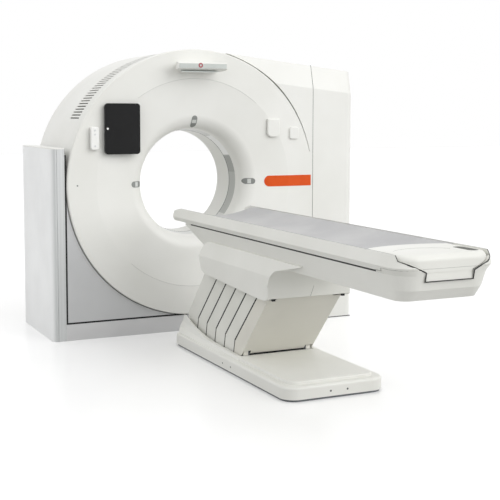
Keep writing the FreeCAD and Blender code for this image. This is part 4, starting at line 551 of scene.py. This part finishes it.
# %% Fine seams
FINE, PAD_LINE, PAD_TOP, RAIL_EDGE = 0.0011, 0.0010, 0.8601, 0.7972
piping("cap_bend", [(-0.140, -3.1296, 0.800), (0.140, -3.1296, 0.800)], FINE, pale_seam,
       "sliding_top")
pad_edge = [(-0.178, -2.961), (-0.150, -2.940), (-0.117, -2.924), (-0.056, -2.912),
            (-0.003, -2.913), (0.048, -2.933), (0.088, -2.956), (0.108, -2.984)]
piping("pad_edge", [(x, y, PAD_TOP) for x, y in pad_edge], PAD_LINE, pale_seam, "sliding_top")
piping("housing_seam", [(0.008, -1.8957, 0.481), (0.022, -1.9003, 0.528), (0.030, -1.9022, 0.552),
                        (0.036, -1.9072, 0.572)], FINE, seam_and_shade_grey, "table_frame")
below_rail = [(0.2530, -2.935, 0.7815), (0.2540, -2.985, 0.7830), (0.2602, -2.992, 0.7970),
              (0.2605, -3.042, RAIL_EDGE)]
CORNER, CORNER_RADIUS = (0.166, -3.042), 0.0946
below_rail += [(x, y, RAIL_EDGE)
               for x, y in on_circle(CORNER, CORNER_RADIUS, range(-15, -91, -15))]
for side, hand in ((-1, "left"), (1, "right")):
    piping("block_seam_" + hand, [(side * x, y, z) for x, y, z in below_rail], FINE, seam_and_shade_grey,
           "table_frame")
print("seams done")

# %% [markdown]
# In the gantry's round face, a soft crease marks where the flat ring turns into the dish. Its
# grey, darker than the cover, is painted shade in the crease. It shows above and below the bore
# and fades out at the sides, so it is two arcs.

# %% Crease of the round face
CREASE_RADIUS, CREASE_WIDTH, FACE = 0.695, 0.0012, -0.3349
crease_shade_grey = even_finish("painted_crease_shade", "CFD0CC", "C6C7C3", 0.5, 4)
for name, start, end in (("face_crease_top", 50, 126), ("face_crease_low", 228, 304)):
    arc = on_circle((0, BORE_HEIGHT), CREASE_RADIUS, range(start, end + 1, 2))
    piping(name, [(x, FACE, z) for x, z in arc], CREASE_WIDTH, crease_shade_grey, GROUND)
print("crease", [round(v, 3) for v in trim[-1].dimensions])

# %% [markdown]
# Two more joints are closed. A grey strip stands a millimetre deep in the upright gap beside the
# tower and leans back with the tower's top; it is painted shade in the gap. In each rounded
# corner of the table's foot end a curved filler closes the way into the trough. A black strip
# runs along the tower's lower edge as a painted shadow line.

# %% Painted shade in the tower's gap, corner fillers and painted shadow at the tower's foot
tower_gap_shade = even_finish("painted_gap_shade", "6B6D6C", "626463", 0.7, 4)
strip("tower_gap_shade", [(0.890, -0.3340, 0.012), (0.890, -0.3340, 1.642), (0.890, -0.2958, 1.798)],
      (0, 0.010, 0), 0.0036, tower_gap_shade, GROUND)
TUB_CORNER, TUB_RADIUS, TUB_EDGE = (0.145, -3.032), 0.0990, 0.7720
bend = on_circle(TUB_CORNER, TUB_RADIUS, range(-4, -41, -4))
for side, hand in ((-1, "left"), (1, "right")):
    strip("corner_filler_" + hand, [(side * x, y, TUB_EDGE) for x, y in bend],
          (side * 0.0074, -0.0030, 0.0114), 0.0016, table_paint, "table_frame")
strip("tower_foot_shadow", [(0.893, -0.3354, 0.0030), (1.206, -0.3354, 0.0030)], (0, 0.0008, 0), 0.0052,
      rubber_and_shade_black, GROUND)
print("fillers done")

# %% [markdown]
# Behind the vent slots sits a dark sheet. It is painted shade for the dark inside of the drum
# seen through the slots. It is a band of the drum's inside: a line along the drum, spun round the
# axis of the bore and thickened.

# %% Painted shade behind the vent slots
VENT_SHADE_RADIUS, VENT_SHADE_START, VENT_SHADE_SPAN = 0.872, radians(7), radians(57)
VENT_SHADE_FRONT, VENT_SHADE_BACK, VENT_SHADE_THICK = -0.215, 0.005, 0.003
vent_shade_paint = even_finish("painted_vent_shade", "434545", "383A3A", 0.9, 4)
first = (-VENT_SHADE_RADIUS * sin(VENT_SHADE_START), VENT_SHADE_FRONT, BORE_HEIGHT + VENT_SHADE_RADIUS * cos(VENT_SHADE_START))
draw_path([first, (first[0], VENT_SHADE_BACK, first[2])])
bpy.ops.mesh.select_all(action="SELECT")
bpy.ops.mesh.spin(steps=48, angle=VENT_SHADE_SPAN, center=(0, 0, BORE_HEIGHT), axis=(0, -1, 0))
bpy.ops.object.mode_set(mode="OBJECT")
modify("SOLIDIFY", thickness=VENT_SHADE_THICK, offset=0.0)
shade_sheet = keep("vent_shade_sheet", vent_shade_paint, GROUND)
print("shade_sheet", [round(v, 3) for v in shade_sheet.dimensions])

# %% [markdown]
# A thin black seal fills the joint between the light ring and the bore's liner. It starts as a
# tube without ends and gets its wall inwards and outwards from there.

# %% Seal in the bore
lay_aside()
bpy.ops.mesh.primitive_cylinder_add(vertices=192, radius=0.3502, depth=0.0042,
                                    end_fill_type="NOTHING", location=(0, -0.0985, BORE_HEIGHT),
                                    rotation=(pi / 2, 0, 0))
modify("SOLIDIFY", thickness=0.0012, offset=0.0)
keep("bore_seal", rubber_and_shade_black, GROUND)
print("seal", [round(v, 3) for v in trim[-1].dimensions])

# %% [markdown]
# Screws and levelling feet hide behind small round plugs. A plug is a short cylinder whose face
# is inset and pressed in, with a rounded rim; the same function sets every one of them, and the
# round lens in the tablet's frame too. The two plugs at the base's foot end are the darkest.

# %% Round plugs
plug_grey = even_finish("dark_plug_plastic", "5C5E5E", "525454", 0.5, 3)
PLUG_RADIUS, PLUG_LENGTH, PLUG_RIM = 0.0055, 0.004, 0.28    # the rim is a share of the radius
PLUG_STAND, PLUG_DISH, PLUG_EDGE = 0.0008, 0.0006, 0.0004


def pick_faces(direction):
    """Selects the faces of the active piece that look along a direction of its own."""
    mesh = bpy.context.object.data
    for part in (*mesh.vertices, *mesh.edges):
        part.select = False
    for face in mesh.polygons:
        face.select = face.normal.dot(Vector(direction)) > 0.9
    bpy.ops.object.mode_set(mode="EDIT")
    bpy.ops.mesh.select_mode(type="FACE")


def plug(name, place, outward, radius, finish):
    """A round plug with a dished face; its rim stands a little in front of place."""
    lay_aside()
    turn = Vector((0, 0, 1)).rotation_difference(Vector(outward)).to_euler()
    middle = Vector(place) + Vector(outward) * (PLUG_STAND - PLUG_LENGTH / 2)
    bpy.ops.mesh.primitive_cylinder_add(vertices=40, radius=radius, depth=PLUG_LENGTH,
                                        location=middle, rotation=turn)
    pick_faces((0, 0, 1))
    bpy.ops.mesh.inset(thickness=radius * PLUG_RIM)
    bpy.ops.transform.translate(value=Vector(outward) * -PLUG_DISH)
    bpy.ops.object.mode_set(mode="OBJECT")
    modify("BEVEL", width=PLUG_EDGE, segments=2)
    return keep(name, finish, GROUND)


PLUGS = [("base_plug_1", (-0.042, -2.205, 0.040), (0, -1, 0), plug_grey),
         ("base_plug_2", (0.058, -2.205, 0.040), (0, -1, 0), plug_grey),
         ("base_plug_3", (-0.300, -1.423, 0.040), (-1, 0, 0), seam_and_shade_grey),
         ("base_plug_4", (-0.300, -1.532, 0.040), (-1, 0, 0), seam_and_shade_grey),
         ("base_plug_5", (0.300, -1.423, 0.040), (1, 0, 0), seam_and_shade_grey),
         ("base_plug_6", (0.300, -1.532, 0.040), (1, 0, 0), seam_and_shade_grey),
         ("face_plug", (-0.821, -0.335, 1.002), (0, -1, 0), seam_and_shade_grey)]
for name, place, outward, finish in PLUGS:
    plug(name, place, outward, PLUG_RADIUS, finish)
plug("tablet_lens", (-0.627, -0.3701, 1.364), (0, -1, 0), 0.0065, handset_plastic)
print(len(PLUGS) + 1, "plugs")

# %% [markdown]
# Small blocks: rubber bumpers under the corners of the lift's housing, bearing caps that show
# through the notches of the foot plate, and the white stops in which the black accessory rails
# end. A block is a cube with its front face inset and its edges rounded.

# %% Bumpers, bearing caps and rail stops
BLOCK_RIM = 0.22    # width of the rim, as a share of the front face's shorter side


def block(name, middle, size, turn, finish, body, edge=0.0015):
    """A rounded block of a real size whose front face, at its own -Y, is slightly sunk."""
    lay_aside()
    bpy.ops.mesh.primitive_cube_add(size=1, location=middle, rotation=(turn, 0, 0))
    bpy.ops.transform.resize(value=size, orient_type="LOCAL")
    bpy.ops.object.transform_apply(location=False, rotation=False, scale=True)
    pick_faces((0, -1, 0))
    bpy.ops.mesh.inset(thickness=min(size[0], size[2]) * BLOCK_RIM)
    bpy.ops.transform.translate(value=(0, edge * 0.5, 0))
    bpy.ops.object.mode_set(mode="OBJECT")
    modify("BEVEL", width=edge, segments=2, limit_method="ANGLE")
    return keep(name, finish, body)


for side, hand in ((-1, "left"), (1, "right")):
    block("housing_bumper_" + hand, (side * 0.213, -1.888, 0.4715), (0.020, 0.014, 0.011), 0,
          rubber_and_shade_black, "table_frame")
    block("bearing_cap_" + hand, (side * 0.201, -1.5165, 0.1120), (0.030, 0.020, 0.034), 0,
          plate_paint, GROUND, 0.003)
    for end, start, stop in (("head", -0.832, -0.7545), ("foot", -2.990, -2.934)):
        block("rail_stop_%s_%s" % (end, hand), (side * 0.2456, (start + stop) / 2, 0.7766),
              (0.0030, abs(stop - start), 0.0084), 0, table_paint, "table_frame",
              0.0006)
print("blocks done")

# %% [markdown]
# A grey wall round the grip recess in the end cap is painted shade for the shadowed inside of the
# recess. Its line runs round the recess, which is long with two round ends, and begins and ends
# in the middle of a straight side. Along the lower edge of the lift's foot plate runs a thin
# black strip that leans with it. The strip is painted shade for the shadowed gap between plate
# and base.

# %% Painted shade in the grip, and along the plate's lower edge
GRIP, GRIP_RADIUS, GRIP_REACH = (0.1775, -3.005), 0.0266, 0.0475
GRIP_FLOOR, GRIP_DEPTH = 0.8370, 0.0222
start = (GRIP[0] + GRIP_RADIUS, GRIP[1], GRIP_FLOOR)
around = [start]
for reach, turns in ((GRIP_REACH, range(0, 181, 15)), (-GRIP_REACH, range(180, 361, 15))):
    half = on_circle((GRIP[0], GRIP[1] + reach), GRIP_RADIUS, turns)
    around += [(x, y, GRIP_FLOOR) for x, y in half]
strip("grip_shade_wall", around + [start], (0, 0, GRIP_DEPTH), 0.0014, seam_and_shade_grey, "sliding_top")
block("plate_gap_shade", on_arm(0, -0.0128, 0.0065), (0.346, 0.0018, 0.0090), LEAN, rubber_and_shade_black,
      "front_arm", 0.0006)
print("grip lining", [round(v, 3) for v in trim[-2].dimensions])

# %% [markdown]
# The hood over the bore lights the patient through an opal panel in its underside. The panel is
# a plane, tilted with the hood, whose front edge is widened to follow the hood's sides, and it
# is then thickened.

# %% Lamp panel of the hood
lamp_panel = even_finish("opal_lamp_panel", "E9EEEC", "E2E8E6", 0.3, 5)
HOOD_SLOPE, FRONT_WIDER = radians(10.95), 1.25
lay_aside()
bpy.ops.mesh.primitive_plane_add(size=1, location=(-0.010, -0.400, 1.7398),
                                 rotation=(HOOD_SLOPE, 0, 0))
bpy.ops.transform.resize(value=(0.215, 0.075, 1), orient_type="LOCAL")
bpy.ops.object.transform_apply(location=False, rotation=False, scale=True)
bpy.ops.object.mode_set(mode="EDIT")
bpy.ops.mesh.select_mode(type="VERT")
bpy.ops.mesh.select_all(action="DESELECT")
bpy.ops.object.mode_set(mode="OBJECT")
for corner in bpy.context.object.data.vertices:
    corner.select = corner.co.y < 0
bpy.ops.object.mode_set(mode="EDIT")
bpy.ops.transform.resize(value=(FRONT_WIDER, 1, 1))
bpy.ops.object.mode_set(mode="OBJECT")
modify("SOLIDIFY", thickness=0.004, offset=0.0)
modify("BEVEL", width=0.001, segments=2)
panel = keep("hood_lamp_panel", lamp_panel, GROUND)
print("lamp panel", [round(v, 3) for v in panel.dimensions])

# %% [markdown]
# A small red ring marks the strip on the hood's front. It is printed film, all but flat, so a
# torus is placed upright and pressed to a quarter of its thickness.

# %% Signal ring of the hood
lay_aside()
bpy.ops.mesh.primitive_torus_add(major_segments=48, minor_segments=10, major_radius=0.0115,
                                 minor_radius=0.0042, location=(-0.018, -0.4587, 1.7745),
                                 rotation=(pi / 2, 0, 0))
bpy.ops.transform.resize(value=(1, 1, 0.25), orient_type="LOCAL")
keep("signal_ring", signal_red, GROUND)
print(len(trim), "pieces of trim")

# %% [markdown]
# ## The studio
#
# A white floor that runs out of sight and an even white surround, as in a catalogue. The
# surround lights more from overhead than at eye level, like a room with a lit ceiling, and more
# from the left, like a window. Seen by the camera, in reflections and through glass, the
# surround is plain white, and so is the floor outside the shadow. To the undersides the floor
# passes on less light than it shows: it is white only where the picture needs it.

# %% Floor
def seen_directly(tree):
    """1 for what the camera sees, also by reflection and through glass; 0 for other light."""
    ray = add(tree, "LightPath")
    seen = ray.outputs["Is Camera Ray"]
    for kind in ("Is Glossy Ray", "Is Transmission Ray"):
        either = add(tree, "Math", {0: seen, 1: ray.outputs[kind]}, operation="MAXIMUM")
        seen = either.outputs["Value"]
    return seen


FLOOR_GLOW = 0.11
lay_aside()
bpy.ops.mesh.primitive_plane_add(size=60, location=(0, 0, 0))
floor = bpy.context.object
floor.name = "studio_floor"
floor_paint, tree, shader = new_finish("white_studio_floor", Roughness=0.22, IOR=1.35)
white = mottle(tree, shader, tone("F7F7F7"), tone("F5F5F5"), 900)[1]
seen = seen_directly(tree)
shade = add(tree, "MixRGB", {"Fac": seen, "Color1": tone("B0B0AE"), "Color2": white})
tree.links.new(shade.outputs["Color"], shader.inputs["Base Color"])
shader.inputs["Emission Color"].default_value = (1, 1, 1, 1)
glow = add(tree, "MapRange", {"Value": seen, "To Max": FLOOR_GLOW})
tree.links.new(glow.outputs["Result"], shader.inputs["Emission Strength"])
floor.data.materials.append(floor_paint)
print(floor.name, [round(v) for v in floor.dimensions])

# %% [markdown]
# The surround is the world's background. Its strength is worked out from the direction: it rises
# from the horizon to the zenith, and the left side adds some more.

# %% Surround
HORIZON, ZENITH, LEFT = 0.56, 0.96, 0.48
world = bpy.data.worlds.new("white_surround")
bpy.context.scene.world = world
world.use_nodes = True
tree = world.node_tree
seen = seen_directly(tree)
way = add(tree, "SeparateXYZ", {"Vector": add(tree, "TexCoord").outputs["Generated"]})
above = add(tree, "MapRange", {"Value": way.outputs["Z"], "To Min": HORIZON, "To Max": ZENITH})
beside = add(tree, "MapRange", {"Value": way.outputs["X"], "From Min": 0, "From Max": -1,
                                "To Max": LEFT})
light = add(tree, "Math", {0: above.outputs["Result"], 1: beside.outputs["Result"]},
            operation="ADD")
level = add(tree, "MapRange", {"Value": seen, "To Min": light.outputs["Value"], "To Max": 1.0})
sky = tree.nodes["Background"]
sky.inputs["Color"].default_value = (1, 1, 1, 1)
tree.links.new(level.outputs["Result"], sky.inputs["Strength"])
print(world.name, "from", HORIZON, "to", ZENITH + LEFT)

# %% [markdown]
# One broad soft sun in front and to the right stands for a large lamp behind a diffuser; its
# shadows have no hard edge. Sun and surround together bring a colour out about as it is written,
# and the Standard view transform keeps it so.

# %% Soft sun
SUN_STRENGTH, SUN_SPREAD, SUN_WAY = 1.36, radians(50), Vector((-0.55, 0.72, -0.42))
sun = bpy.data.lights.new("soft_sun", "SUN")
sun.energy = SUN_STRENGTH
sun.angle = SUN_SPREAD
carrier = bpy.data.objects.new("soft_sun", sun)
bpy.context.collection.objects.link(carrier)
carrier.rotation_euler = SUN_WAY.to_track_quat("-Z", "Y").to_euler()
bpy.context.scene.view_settings.view_transform = "Standard"
print("sun %.2f, %.0f degrees wide" % (sun.energy, degrees(sun.angle)))
